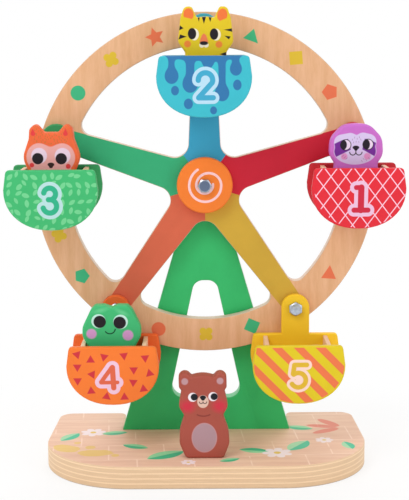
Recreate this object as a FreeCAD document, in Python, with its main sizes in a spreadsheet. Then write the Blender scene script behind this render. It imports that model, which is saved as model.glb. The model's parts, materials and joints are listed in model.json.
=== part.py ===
import FreeCAD, Part
import os
import Sketcher

# Table-top toy Ferris wheel in wood. The frame is the toy's own: +X to the right and +Z up for
# someone who looks at the front, which faces -Y. The origin is on the table, under the middle of
# the base board. All sizes are in millimetres.

# Driving sizes: name, value and what it measures.
SIZES = (
    ("base_thickness", 18.0, "plywood board under everything"),
    ("base_depth", 145.0, "front edge to rear edge of the board"),
    ("base_front_width", 263.5, "board outline carried to its front edge"),
    ("base_rear_width", 252.5, "board outline carried to its rear edge"),
    ("base_front_corner", 70.0, "radius of the large front corners"),
    ("base_rear_corner", 12.0, "radius of the rear corners"),
    ("notch_depth", 48.5, "rear notch that takes the stand"),
    ("notch_mouth_corner", 5.5, "radius where the notch meets the rear edge"),
    ("stand_thickness", 12.0, "upright plate behind the wheel"),
    ("stand_foot_width", 139.4, "plate where it stands in the notch"),
    ("stand_neck_width", 18.4, "sloping sides carried up to the axle"),
    ("stand_head_radius", 16.0, "round head about the axle"),
    ("stand_neck_corner", 9.0, "hollow corner under the head"),
    ("stand_fit", 0.1, "side play of the foot in the notch"),
    ("stand_window_floor", 45.2, "window's lower edge above the table"),
    ("stand_window_top", 144.7, "window's arched top above the table"),
    ("stand_window_floor_width", 61.0, "window carried to its lower edge"),
    ("stand_window_top_width", 18.0, "window carried to its top"),
    ("stand_window_arch", 8.8, "radius of the window's top corners"),
    ("stand_window_corner", 9.7, "radius of the window's lower corners"),
    ("axle_height", 225.2, "wheel centre above the table"),
    ("wheel_radius", 136.8, "outside of the ring"),
    ("ring_width", 26.6, "ring, outside to inside"),
    ("wheel_thickness", 10.0, "one plywood plate, ring and spokes"),
    ("spoke_root_radius", 27.2, "where the windows' inner corners lie"),
    ("spoke_root_width", 26.2, "spoke at that radius"),
    ("spoke_rim_width", 18.4, "spoke where it joins the ring"),
    ("window_root_corner", 11.0, "windows' rounding near the hub"),
    ("window_rim_corner", 8.0, "windows' rounding at the ring"),
    ("pivot_radius", 124.0, "wheel centre to each gondola's bolt"),
    ("hub_radius", 22.3, "disc in front of the spokes"),
    ("hub_thickness", 8.0, "the same disc"),
    ("axle_spacer_thickness", 2.0, "washer between wheel and stand"),
    ("axle_spacer_radius", 12.0, "the same washer"),
    ("bolt_radius", 3.0, "six millimetre bolts throughout"),
    ("bolt_head_flats", 10.0, "hexagon across its flats"),
    ("bolt_head_height", 4.0, "the same hexagon"),
    ("bolt_clearance", 0.09, "radial play of what turns on a bolt"),
    ("running_gap", 0.1, "end play of what turns on a bolt"),
    ("bolt_end", 2.5, "axle bolt past its nut"),
    ("washer_radius", 6.0, "washer under the lock nut"),
    ("washer_thickness", 1.6, "the same washer"),
    ("nut_height", 6.0, "lock nut behind the stand"),
    ("pivot_depth", 8.0, "gondola bolts' hold in the wheel"),
    ("tab_gap", 1.7, "wheel to the hanger tabs"),
    ("panel_top_width", 68.2, "gondola panel at its flat top"),
    ("panel_width", 72.5, "panel at its widest"),
    ("panel_height", 46.5, "flat top to lowest point"),
    ("panel_side_height", 15.5, "flat top to the widest place"),
    ("panel_thickness", 6.0, "front and back panels"),
    ("panel_top_corner", 2.8, "how far the top corners' rounding reaches"),
    ("pivot_drop", 21.0, "bolt down to the panels' flat top"),
    ("tab_width", 22.6, "hanger tab of the back panel"),
    ("tab_corner", 11.0, "rounding at the tab's top"),
    ("gondola_depth", 38.0, "clear space between the panels"),
    ("seat_width", 45.0, "clear space between the slats"),
    ("slat_thickness", 3.5, "side slats"),
    ("slat_top_drop", 1.5, "panel top down to the slats"),
    ("slat_height", 33.0, "side slats"),
    ("floor_drop", 32.0, "panel top down to the floor"),
    ("floor_thickness", 5.0, "gondola floor"),
    ("groove_depth", 2.0, "grooves that hold slats and floor"),
    ("figure_thickness", 12.0, "flat wooden animals"),
    ("tiger_shift", 1.4, "loose figures stand a little to one side"),
    ("sloth_shift", -0.2, "the same"),
    ("fox_shift", -0.9, "the same"),
    ("frog_shift", -1.7, "the same"),
    ("bear_shift", -1.1, "the same"),
    ("bear_lean", -0.024, "how far the bear leans aside for its height"),
    ("bear_gap", 1.5, "passing gondolas to the bear's back"),
    ("screw_radius", 2.0, "screws through the stand's foot"),
    ("screw_length", 40.0, "below the head"),
    ("screw_head_radius", 4.0, "pan head"),
    ("screw_head_height", 2.6, "pan head"),
    ("screw_spacing", 90.0, "between the two screws"),
)

SPOKE_COUNT = 5
SPOKE_ANGLE = 360 / SPOKE_COUNT

# Gondola number painted on each front panel, and where it hangs: spokes clockwise from the top.
GONDOLA_SPOKES = {1: 1, 2: 0, 3: 4, 4: 3, 5: 2}

# Animals as half outlines from the middle of the foot up the right side: how far out, how far up
# and how round each corner is. A concave corner is rounded in the same way.
ANIMALS = {
    "bear": (
        (14.8, 0.0, 4.0), (19.6, 12.0, 13.0), (18.9, 22.5, 15.0), (14.9, 34.2, 5.0),
        (19.2, 41.6, 7.0), (16.7, 54.0, 0.8), (18.5, 56.8, 3.0), (18.6, 65.4, 4.6),
        (15.7, 68.3, 4.6), (11.6, 68.3, 4.6), (8.4, 65.1, 0.8), (0.0, 67.3, 24.0),
    ),
    "tiger": (
        (13.0, 0.0, 4.0), (19.5, 14.0, 12.0), (15.6, 34.0, 4.0), (21.4, 42.1, 7.0),
        (19.4, 60.0, 6.0), (16.4, 68.8, 4.0), (10.6, 69.0, 3.0), (6.9, 60.6, 1.8),
        (0.0, 61.4, 20.0),
    ),
    "sloth": (
        (13.0, 0.0, 4.0), (18.6, 13.0, 12.0), (16.6, 34.0, 5.0), (20.9, 40.7, 12.0),
        (20.1, 53.6, 13.0), (10.5, 63.9, 12.0), (0.0, 64.9, 30.0),
    ),
    "fox": (
        (13.0, 0.0, 4.0), (19.0, 12.0, 10.0), (16.2, 25.0, 5.0), (22.6, 39.7, 13.0),
        (17.4, 54.5, 8.0), (16.8, 62.1, 4.0), (11.8, 66.7, 3.0), (5.5, 59.4, 3.0),
    ),
    "frog": (
        (13.0, 0.0, 4.0), (19.0, 12.0, 9.0), (17.0, 25.0, 5.0), (23.3, 36.2, 8.0),
        (23.2, 43.6, 11.0), (16.4, 57.6, 5.0), (12.9, 61.1, 3.4), (5.4, 61.2, 3.4),
        (0.0, 59.2, 2.6),
    ),
}
RIDERS = {2: "tiger", 1: "sloth", 3: "fox", 4: "frog"}

# The rounded lower part of a panel: how many flats run from its middle to its widest place, and
# how near it comes to an oval, which has 1. Less is fuller. Its top corners have flats as well.
PANEL_FLATS = 12
PANEL_FULLNESS = 0.93
CORNER_FLATS = 3

doc = FreeCAD.newDocument("FerrisWheel")
sheet = doc.addObject("Spreadsheet::Sheet", "Sizes")
for row, (alias, number, note) in enumerate(SIZES, start=1):
    sheet.set(f"A{row}", alias)
    sheet.set(f"B{row}", str(number))
    sheet.set(f"C{row}", note)
    sheet.setAlias(f"B{row}", alias)
doc.recompute()

# Places along Y, from the rear forwards.
STAND_FRONT = "(Sizes.base_depth / 2 - Sizes.notch_depth)"
STAND_BACK = f"({STAND_FRONT} + Sizes.stand_thickness)"
WHEEL_BACK = f"({STAND_FRONT} - Sizes.axle_spacer_thickness - Sizes.running_gap)"
WHEEL_FRONT = f"({WHEEL_BACK} - Sizes.wheel_thickness)"
HUB_FRONT = f"({WHEEL_FRONT} - Sizes.hub_thickness)"
TAB_BACK = f"({WHEEL_FRONT} - Sizes.tab_gap)"
TAB_FRONT = f"({TAB_BACK} - Sizes.panel_thickness)"
FRONT_PANEL_BACK = f"({TAB_FRONT} - Sizes.gondola_depth)"
FRONT_PANEL_FRONT = f"({FRONT_PANEL_BACK} - Sizes.panel_thickness)"
BEAR_BACK = f"({FRONT_PANEL_FRONT} - Sizes.bear_gap)"

# Heights inside a gondola, from its bolt down.
PANEL_TOP = "(0 - Sizes.pivot_drop)"
SLAT_TOP = f"({PANEL_TOP} - Sizes.slat_top_drop)"
FLOOR_TOP = f"({PANEL_TOP} - Sizes.floor_drop)"

SCREW_PLACES = ("-Sizes.screw_spacing / 2", "Sizes.screw_spacing / 2")

# Two points nearer than this are the same place.
NEAR = 1e-3

X_AXIS = FreeCAD.Vector(1, 0, 0)
Y_AXIS = FreeCAD.Vector(0, 1, 0)
FACING_FRONT = FreeCAD.Rotation(X_AXIS, 90)
FACING_BACK = FreeCAD.Rotation(X_AXIS, -90)

nodes = {}


def value(expression):
    """The number that a bare number or an expression on the sheet gives."""
    if isinstance(expression, str):
        return float(sheet.evalExpression(expression))
    return float(expression)


def place(item, x="0", y="0", z="0", rotation=None):
    """Puts an object at a place given by expressions."""
    if rotation is not None:
        item.Placement = FreeCAD.Placement(FreeCAD.Vector(), rotation)
    for axis, expression in (("x", x), ("y", y), ("z", z)):
        item.setExpression(f"Placement.Base.{axis}", expression)


def keep(item, name):
    """Names a finished piece and notes it for export."""
    item.Label = name
    nodes[name] = item
    return item


def new_body(name):
    return doc.addObject("PartDesign::Body", f"{name}_body")


def new_sketch(body, name, plane="XZ_Plane", offset="0"):
    """A sketch on one of the body's own planes, moved along that plane's normal."""
    sketch = body.newObject("Sketcher::SketchObject", name)
    support = next(item for item in body.Origin.OriginFeatures if item.Role == plane)
    sketch.AttachmentSupport = (support, "")
    sketch.MapMode = "FlatFace"
    if offset != "0":
        sketch.setExpression("AttachmentOffset.Base.z", offset)
    return sketch


def pin_point(sketch, geometry, point, x, y):
    """Holds a sketch point at a place given by two expressions."""
    for kind, expression, axis in (("DistanceX", x, -2), ("DistanceY", y, -1)):
        if expression == "0":
            sketch.addConstraint(Sketcher.Constraint("PointOnObject", geometry, point, axis))
            continue
        distance = Sketcher.Constraint(kind, -1, 1, geometry, point, value(expression))
        index = sketch.addConstraint(distance)
        sketch.setExpression(f"Constraints[{index}]", expression)


def draw_outline(sketch, corners, arcs=None):
    """Closed outline through corners given as pairs of expressions.

    arcs maps a corner's index to (radius, side): the side from there to the next corner is then
    an arc, with its centre to the left of the way for side 1 and to the right for side -1.
    """
    arcs = arcs or {}
    points = [FreeCAD.Vector(value(x), value(y), 0) for x, y in corners]
    count = len(points)
    first = sketch.GeometryCount
    ends = []
    for index, start in enumerate(points):
        end = points[(index + 1) % count]
        if index not in arcs:
            sketch.addGeometry(Part.LineSegment(start, end), False)
            ends.append((1, 2))
            continue
        radius, side = arcs[index]
        size = value(radius)
        chord = end - start
        inward = FreeCAD.Vector(-chord.y, chord.x, 0).normalize() * side
        reach = (size ** 2 - (chord.Length / 2) ** 2) ** 0.5
        bulge = (start + end) * 0.5 + inward * (reach - size)
        sketch.addGeometry(Part.Arc(start, bulge, end), False)
        ends.append((1, 2) if side > 0 else (2, 1))
    for index in range(count):
        following = (index + 1) % count
        joint = Sketcher.Constraint(
            "Coincident", first + index, ends[index][1], first + following, ends[following][0])
        sketch.addConstraint(joint)
        pin_point(sketch, first + index, ends[index][0], *corners[index])
    for index, (radius, _) in arcs.items():
        number = sketch.addConstraint(Sketcher.Constraint("Radius", first + index, value(radius)))
        sketch.setExpression(f"Constraints[{number}]", radius)


def draw_circle(sketch, x, y, radius):
    centre = FreeCAD.Vector(value(x), value(y), 0)
    geometry = sketch.addGeometry(Part.Circle(centre, FreeCAD.Vector(0, 0, 1), value(radius)), False)
    pin_point(sketch, geometry, 3, x, y)
    number = sketch.addConstraint(Sketcher.Constraint("Radius", geometry, value(radius)))
    sketch.setExpression(f"Constraints[{number}]", radius)


def both_sides(half):
    """A full outline from the corners of its right half, listed from the bottom up."""
    left = [(f"-({x})", y) for x, y in reversed(half) if x != "0"]
    return list(half) + left


def pad(body, sketch, length, middle=False):
    """Gives a sketch its thickness, towards the front or evenly both ways."""
    feature = body.newObject("PartDesign::Pad", f"{sketch.Name}_pad")
    feature.Profile = sketch
    feature.setExpression("Length", length)
    if middle:
        feature.SideType = "Symmetric"
    doc.recompute()
    return feature


def pocket(body, sketch, depth=None, reverse=False):
    """Cuts a sketch into the body to a depth, or right through it both ways."""
    before = body.Shape.Volume
    feature = body.newObject("PartDesign::Pocket", f"{sketch.Name}_pocket")
    feature.Profile = sketch
    feature.Reversed = reverse
    if depth is None:
        feature.SideType = "Symmetric"
        feature.Type = "ThroughAll"
    else:
        feature.setExpression("Length", depth)
    doc.recompute()
    if body.Shape.Volume >= before:
        raise RuntimeError(f"{feature.Name} cuts nothing")
    return feature


def plane_place(point, plane):
    return (point.x, point.y) if plane == "XY_Plane" else (point.x, point.z)


def round_corners(body, corners, radius, plane="XZ_Plane"):
    """Rounds the body's edges that stand square to the sketch plane at the given corners."""
    wanted = [(value(x), value(y)) for x, y in corners]
    names = []
    for index, edge in enumerate(body.Tip.Shape.Edges, start=1):
        if len(edge.Vertexes) != 2:
            continue
        start, end = [plane_place(vertex.Point, plane) for vertex in edge.Vertexes]
        if max(abs(start[0] - end[0]), abs(start[1] - end[1])) > NEAR:
            continue
        if any(max(abs(start[0] - x), abs(start[1] - y)) < NEAR for x, y in wanted):
            names.append(f"Edge{index}")
    if len(names) < len(wanted):
        raise RuntimeError(f"{body.Name}: {len(names)} edges found for {len(wanted)} corners")
    add_edge_feature(body, "PartDesign::Fillet", "Radius", names, radius)


def add_edge_feature(body, kind, setting, names, size):
    base = body.Tip
    feature = body.newObject(kind, f"{body.Name}_{kind.split('::')[1]}")
    feature.Base = (base, names)
    feature.setExpression(setting, size)
    doc.recompute()
    if not feature.Shape.isValid() or feature.Shape.Volume <= 0:
        raise RuntimeError(f"{feature.Name} has no sound shape")


def spoke_place(spoke):
    """Expressions for a gondola bolt's place on the wheel, spokes counted clockwise from the top."""
    angle = f"({spoke} * {SPOKE_ANGLE} deg)"
    across = f"(Sizes.pivot_radius * sin({angle}))"
    up = f"(Sizes.axle_height + Sizes.pivot_radius * cos({angle}))"
    return across, up


def build_base():
    """Board with large front corners, and a notch in its rear edge for the stand."""
    body = new_body("base_board")
    rear = "Sizes.base_depth / 2"
    front = "-Sizes.base_depth / 2"
    notch = "(Sizes.stand_foot_width / 2 + Sizes.stand_fit)"
    corners = both_sides((
        ("Sizes.base_front_width / 2", front),
        ("Sizes.base_rear_width / 2", rear),
        (notch, rear),
        (notch, STAND_FRONT),
    ))
    sketch = new_sketch(body, "base_outline", "XY_Plane")
    draw_outline(sketch, corners)
    pad(body, sketch, "Sizes.base_thickness")
    for number, radius in ((0, "Sizes.base_front_corner"), (1, "Sizes.base_rear_corner"),
                           (2, "Sizes.notch_mouth_corner")):
        round_corners(body, (corners[number], corners[-1 - number]), radius, "XY_Plane")
    pilots = new_sketch(body, "base_pilots", offset=f"-({STAND_FRONT})")
    for across in SCREW_PLACES:
        draw_circle(pilots, across, "Sizes.base_thickness / 2", "Sizes.screw_radius")
    pocket(body, pilots, "Sizes.screw_length - Sizes.stand_thickness", reverse=True)
    return keep(body, "base_board")


def build_stand():
    """Tapered plate with an arched window and a round head, its foot square in the notch."""
    body = new_body("stand_plate")
    corners = both_sides((
        ("Sizes.stand_foot_width / 2", "0"),
        ("Sizes.stand_foot_width / 2", "Sizes.base_thickness"),
        ("Sizes.stand_neck_width / 2", "Sizes.axle_height"),
    ))
    sketch = new_sketch(body, "stand_outline")
    draw_outline(sketch, corners)
    pad(body, sketch, "Sizes.stand_thickness")
    head = new_sketch(body, "stand_head")
    draw_circle(head, "0", "Sizes.axle_height", "Sizes.stand_head_radius")
    pad(body, head, "Sizes.stand_thickness")
    round_corners(body, stand_neck_corners(), "Sizes.stand_neck_corner")
    window = new_sketch(body, "stand_window")
    window_corners = both_sides((
        ("Sizes.stand_window_floor_width / 2", "Sizes.stand_window_floor"),
        ("Sizes.stand_window_top_width / 2", "Sizes.stand_window_top"),
    ))
    draw_outline(window, window_corners)
    pocket(body, window)
    round_corners(body, (window_corners[0], window_corners[-1]), "Sizes.stand_window_corner")
    round_corners(body, window_corners[1:-1], "Sizes.stand_window_arch")
    holes = new_sketch(body, "stand_holes")
    draw_circle(holes, "0", "Sizes.axle_height", "Sizes.bolt_radius")
    for across in SCREW_PLACES:
        draw_circle(holes, across, "Sizes.base_thickness / 2", "Sizes.screw_radius")
    pocket(body, holes)
    place(body, y=STAND_BACK)
    return keep(body, "stand_plate")


def stand_neck_corners():
    """The two places where the stand's sloping sides run into its round head."""
    foot = value("Sizes.stand_foot_width / 2")
    neck = value("Sizes.stand_neck_width / 2")
    slope = (foot - neck) / value("Sizes.axle_height - Sizes.base_thickness")
    radius = value("Sizes.stand_head_radius")
    square = 1 + slope ** 2
    drop = (((neck * slope) ** 2 - square * (neck ** 2 - radius ** 2)) ** 0.5 - neck * slope) / square
    across = neck + slope * drop
    up = value("Sizes.axle_height") - drop
    return (across, up), (-across, up)


def build_wheel():
    """One plate, ring and spokes: a disc with five windows cut round a common centre."""
    body = new_body("wheel_plate")
    disc = new_sketch(body, "wheel_disc")
    draw_circle(disc, "0", "0", "Sizes.wheel_radius")
    pad(body, disc, "Sizes.wheel_thickness")
    half_step = f"({SPOKE_ANGLE / 2} deg)"
    inside = "(Sizes.wheel_radius - Sizes.ring_width)"
    rim_half = "(Sizes.spoke_rim_width / 2)"
    root_half = "(Sizes.spoke_root_width / 2)"
    rim_reach = f"sqrt({inside} ^ 2 - {rim_half} ^ 2)"
    corners = both_sides((
        window_corner("Sizes.spoke_root_radius", root_half, half_step),
        window_corner(rim_reach, rim_half, half_step),
    ))
    window = new_sketch(body, "wheel_window")
    draw_outline(window, corners, {1: (inside, 1)})
    cut = pocket(body, window)
    ring = body.newObject("PartDesign::PolarPattern", "wheel_windows")
    ring.Originals = [cut]
    ring.Axis = (next(item for item in body.Origin.OriginFeatures if item.Role == "Y_Axis"), [""])
    ring.Angle = 360
    ring.Occurrences = SPOKE_COUNT
    body.Tip = ring
    doc.recompute()
    flat = [(value(x), value(y)) for x, y in corners]
    round_corners(body, turned((flat[0], flat[3])), "Sizes.window_root_corner")
    round_corners(body, turned((flat[1], flat[2])), "Sizes.window_rim_corner")
    bore = new_sketch(body, "wheel_bore")
    draw_circle(bore, "0", "0", "Sizes.bolt_radius + Sizes.bolt_clearance")
    pocket(body, bore)
    pivots = new_sketch(body, "wheel_pivots", offset="Sizes.wheel_thickness")
    for spoke in range(SPOKE_COUNT):
        angle = f"(({spoke} + 0.5) * {SPOKE_ANGLE} deg)"
        draw_circle(pivots, f"Sizes.pivot_radius * sin({angle})", f"Sizes.pivot_radius * cos({angle})",
                    "Sizes.bolt_radius")
    pocket(body, pivots, "Sizes.pivot_depth")
    place(body, y=WHEEL_BACK, z="Sizes.axle_height",
          rotation=FreeCAD.Rotation(Y_AXIS, SPOKE_ANGLE / 2))
    return keep(body, "wheel_plate")


def window_corner(reach, half_width, half_step):
    """A window's corner beside a spoke: how far along the spoke and how far from its middle."""
    across = f"({reach} * sin({half_step}) - {half_width} * cos({half_step}))"
    up = f"({reach} * cos({half_step}) + {half_width} * sin({half_step}))"
    return across, up


def turned(points):
    """The points repeated round the wheel's centre, once for each spoke."""
    result = []
    for spoke in range(SPOKE_COUNT):
        rotation = FreeCAD.Rotation(FreeCAD.Vector(0, 0, 1), spoke * SPOKE_ANGLE)
        for x, y in points:
            moved = rotation.multVec(FreeCAD.Vector(x, y, 0))
            result.append((moved.x, moved.y))
    return result


def build_hub():
    """Thick disc glued to the front of the spokes, bored for the axle bolt."""
    body = new_body("hub_disc")
    sketch = new_sketch(body, "hub_outline")
    draw_circle(sketch, "0", "0", "Sizes.hub_radius")
    pad(body, sketch, "Sizes.hub_thickness")
    bore = new_sketch(body, "hub_bore")
    draw_circle(bore, "0", "0", "Sizes.bolt_radius + Sizes.bolt_clearance")
    pocket(body, bore)
    place(body, y=WHEEL_FRONT, z="Sizes.axle_height")
    return keep(body, "hub_disc")


def cylinder(name, radius, length, x, y, z, rotation=FACING_FRONT):
    item = doc.addObject("Part::Cylinder", name)
    item.setExpression("Radius", radius)
    item.setExpression("Height", length)
    place(item, x, y, z, rotation)
    return item


def hexagon(name, flats, length, x, y, z, rotation=FACING_FRONT):
    item = doc.addObject("Part::Prism", name)
    item.Polygon = 6
    item.setExpression("Circumradius", f"{flats} / sqrt(3)")
    item.setExpression("Height", length)
    place(item, x, y, z, rotation)
    return item


def combine(kind, name, *items):
    """Part boolean of two or more objects."""
    item = doc.addObject(kind, name)
    if kind == "Part::Cut":
        item.Base, item.Tool = items
    else:
        item.Shapes = list(items)
    return item


def group(name, items):
    """Identical fasteners as one node of separate solids."""
    item = doc.addObject("Part::Compound", name)
    item.Links = items
    return keep(item, name)


def bolt(name, x, seat, z, length):
    """Hexagon bolt whose head stands forward of its seat and whose shank runs back."""
    head = hexagon(f"{name}_head", "Sizes.bolt_head_flats", "Sizes.bolt_head_height", x, seat, z)
    shank = cylinder(f"{name}_shank", "Sizes.bolt_radius", length, x, seat, z, FACING_BACK)
    return combine("Part::MultiFuse", name, head, shank)


def ring(name, outside, inside, length, x, y, z):
    """Flat ring whose rear face lies at y."""
    body = cylinder(f"{name}_body", outside, length, x, y, z)
    bore = cylinder(f"{name}_bore", inside, length, x, y, z)
    return combine("Part::Cut", name, body, bore)


def build_axle():
    """Bolt through hub, wheel and stand, with the spacer, washer and lock nut that it needs."""
    height = "Sizes.axle_height"
    seat = f"({HUB_FRONT} - Sizes.running_gap)"
    nut_front = f"({STAND_BACK} + Sizes.washer_thickness)"
    end = f"({nut_front} + Sizes.nut_height + Sizes.bolt_end)"
    keep(bolt("axle_bolt", "0", seat, height, f"{end} - {seat}"), "axle_bolt")
    keep(ring("axle_spacer", "Sizes.axle_spacer_radius", "Sizes.bolt_radius",
              "Sizes.axle_spacer_thickness", "0", STAND_FRONT, height), "axle_spacer")
    keep(ring("axle_washer", "Sizes.washer_radius", "Sizes.bolt_radius",
              "Sizes.washer_thickness", "0", nut_front, height), "axle_washer")
    block = hexagon("axle_nut_block", "Sizes.bolt_head_flats", "Sizes.nut_height", "0", nut_front,
                    height, FACING_BACK)
    bore = cylinder("axle_nut_bore", "Sizes.bolt_radius", "Sizes.nut_height", "0", nut_front, height,
                    FACING_BACK)
    keep(combine("Part::Cut", "axle_lock_nut", block, bore), "axle_lock_nut")


def build_stand_screws():
    """Screws from the rear, through the stand's foot and into the notch's front wall."""
    screws = []
    height = "Sizes.base_thickness / 2"
    for number, across in enumerate(SCREW_PLACES, start=1):
        name = f"stand_screw_{number}"
        shank = cylinder(f"{name}_shank", "Sizes.screw_radius", "Sizes.screw_length", across,
                         STAND_BACK, height)
        head = cylinder(f"{name}_head", "Sizes.screw_head_radius", "Sizes.screw_head_height",
                        across, STAND_BACK, height, FACING_BACK)
        screws.append(combine("Part::MultiFuse", name, shank, head))
    group("stand_screws", screws)


def build_pivots():
    """Bolts that carry the gondolas, screwed into the wheel."""
    bolts = []
    seat = f"({TAB_FRONT} - Sizes.running_gap)"
    end = f"({WHEEL_FRONT} + Sizes.pivot_depth)"
    for spoke in range(SPOKE_COUNT):
        across, up = spoke_place(spoke)
        bolts.append(bolt(f"gondola_bolt_{spoke}", across, seat, up, f"{end} - {seat}"))
    group("gondola_bolts", bolts)


def draw_panel(sketch):
    """Panel under the bolt: flat top, leaning sides and a full, rounded lower part."""
    drop = "(Sizes.panel_height - Sizes.panel_side_height)"
    half = []
    for step in range(PANEL_FLATS + 1):
        angle = f"({90 * step / PANEL_FLATS} deg)"
        out = f"(Sizes.panel_width / 2 * sin{angle} ^ {PANEL_FULLNESS})"
        down = f"{drop} * cos{angle} ^ {PANEL_FULLNESS}" if step < PANEL_FLATS else "0"
        half.append((out if step else "0", f"({PANEL_TOP} - Sizes.panel_side_height - {down})"))
    lean = "((Sizes.panel_width - Sizes.panel_top_width) / 2 / Sizes.panel_side_height)"
    for step in range(CORNER_FLATS + 1):
        below = round((1 - step / CORNER_FLATS) ** 2, 4)
        inside = round((step / CORNER_FLATS) ** 2, 4)
        out = f"Sizes.panel_top_corner * ({lean} * {below} - {inside})"
        half.append((f"(Sizes.panel_top_width / 2 + {out})",
                     f"({PANEL_TOP} - Sizes.panel_top_corner * {below})"))
    draw_outline(sketch, both_sides(half))


def cut_grooves(body, name, face, towards_front):
    """Grooves for both slats and the floor in a panel's inner face."""
    sketch = new_sketch(body, f"{name}_grooves", offset=face)
    inner = "Sizes.seat_width / 2"
    outer = "(Sizes.seat_width / 2 + Sizes.slat_thickness)"
    slat_foot = f"({SLAT_TOP} - Sizes.slat_height)"
    for side in ("", "-"):
        draw_outline(sketch, ((f"{side}{inner}", SLAT_TOP), (f"{side}{outer}", SLAT_TOP),
                              (f"{side}{outer}", slat_foot), (f"{side}{inner}", slat_foot)))
    pocket(body, sketch, "Sizes.groove_depth", reverse=towards_front)
    floor = new_sketch(body, f"{name}_floor_groove", offset=face)
    low = f"({FLOOR_TOP} - Sizes.floor_thickness)"
    draw_outline(floor, both_sides(((inner, low), (inner, FLOOR_TOP))))
    pocket(body, floor, "Sizes.groove_depth", reverse=towards_front)


def build_gondola(number):
    """One hanging box: back panel with its tab, front panel, two slats and a floor."""
    across, up = spoke_place(GONDOLA_SPOKES[number])
    back = new_body(f"back_panel_{number}")
    sketch = new_sketch(back, f"back_outline_{number}")
    draw_panel(sketch)
    pad(back, sketch, "Sizes.panel_thickness")
    tab = new_sketch(back, f"tab_outline_{number}")
    tab_half = "Sizes.tab_width / 2"
    tab_corners = both_sides(((tab_half, f"({PANEL_TOP} - Sizes.panel_top_corner)"),
                              (tab_half, tab_half)))
    draw_outline(tab, tab_corners)
    pad(back, tab, "Sizes.panel_thickness")
    round_corners(back, tab_corners[1:3], "Sizes.tab_corner")
    hole = new_sketch(back, f"pivot_hole_{number}")
    draw_circle(hole, "0", "0", "Sizes.bolt_radius + Sizes.bolt_clearance")
    pocket(back, hole)
    cut_grooves(back, f"back_{number}", "Sizes.panel_thickness", False)
    place(back, across, TAB_BACK, up)
    keep(back, f"back_panel_{number}")

    front = new_body(f"front_panel_{number}")
    face = new_sketch(front, f"front_outline_{number}")
    draw_panel(face)
    pad(front, face, "Sizes.panel_thickness")
    cut_grooves(front, f"front_{number}", "0", True)
    place(front, across, FRONT_PANEL_BACK, up)
    keep(front, f"front_panel_{number}")

    front_end = f"({FRONT_PANEL_BACK} - Sizes.groove_depth)"
    length = "(Sizes.gondola_depth + 2 * Sizes.groove_depth)"
    slat_foot = f"({up} + {SLAT_TOP} - Sizes.slat_height)"
    left = f"({across} - Sizes.seat_width / 2 - Sizes.slat_thickness)"
    right = f"({across} + Sizes.seat_width / 2)"
    for side, start in (("left", left), ("right", right)):
        slat = box(f"{side}_slat_{number}_box", "Sizes.slat_thickness", length, "Sizes.slat_height",
                   start, front_end, slat_foot)
        keep(slat, f"{side}_slat_{number}")
    floor = box(f"floor_{number}_box", "Sizes.seat_width", length, "Sizes.floor_thickness",
                f"({across} - Sizes.seat_width / 2)", front_end,
                f"({up} + {FLOOR_TOP} - Sizes.floor_thickness)")
    keep(floor, f"floor_{number}")


def box(name, width, depth, height, x, y, z):
    item = doc.addObject("Part::Box", name)
    item.setExpression("Length", width)
    item.setExpression("Width", depth)
    item.setExpression("Height", height)
    place(item, x, y, z)
    return item


def build_animal(name, x, y, z, lean=None):
    """Flat animal cut to an outline with rounded corners, its foot at z.

    lean is how far aside the outline's middle moves for each unit of height.
    """
    half = ANIMALS[name]
    body = new_body(name)
    sketch = new_sketch(body, f"{name}_outline")
    corners = both_sides([(written(out), written(up)) for out, up, _ in half])
    if lean:
        corners = [(f"({out} + {up} * {lean})", up) for out, up in corners]
    draw_outline(sketch, corners)
    pad(body, sketch, "Sizes.figure_thickness", middle=True)
    for index, (_, _, radius) in enumerate(half):
        round_corners(body, sorted({corners[index], corners[-1 - index]}), written(radius))
    place(body, f"({x} + Sizes.{name}_shift)", y, z)
    return keep(body, name)


def written(number):
    """A number as the sketch's expressions hold it, with an exact zero as 0."""
    return "0" if number == 0 else str(number)


def build_riders():
    """Four animals on their gondolas' floors, and the bear waiting on the board."""
    middle = f"(({TAB_FRONT} + {FRONT_PANEL_BACK}) / 2)"
    for number, name in RIDERS.items():
        across, up = spoke_place(GONDOLA_SPOKES[number])
        build_animal(name, across, middle, f"({up} + {FLOOR_TOP})")
    build_animal("bear", "0", f"({BEAR_BACK} - Sizes.figure_thickness / 2)",
                 "Sizes.base_thickness", "Sizes.bear_lean")


def check_document():
    """Stops unless every object is sound and each node is made of valid solids."""
    doc.recompute()
    for item in doc.Objects:
        if "Invalid" in item.State or "Error" in item.State:
            raise RuntimeError(f"{item.Name}: {item.State}")
    for name, item in nodes.items():
        shape = item.Shape
        if shape.isNull() or not shape.isValid() or not shape.Solids:
            raise RuntimeError(f"{name} is not a valid solid")


def export_nodes():
    os.makedirs("parts", exist_ok=True)
    for name, item in nodes.items():
        item.Shape.exportStep(f"parts/{name}.step")
        print(name, len(item.Shape.Solids), "solids", round(item.Shape.Volume, 1), "mm3")


build_base()
build_stand()
build_stand_screws()
build_axle()
build_wheel()
build_hub()
build_pivots()
for gondola in GONDOLA_SPOKES:
    build_gondola(gondola)
build_riders()
check_document()
export_nodes()
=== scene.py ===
"""Wooden toy Ferris wheel: rounded wood, painted prints and steel fasteners over a fixed frame."""

import json
import logging
import math
from dataclasses import dataclass
from enum import Enum
from functools import reduce
from typing import Callable, Iterable, Sequence

import bmesh
import bpy
from mathutils import Matrix, Vector

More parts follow.
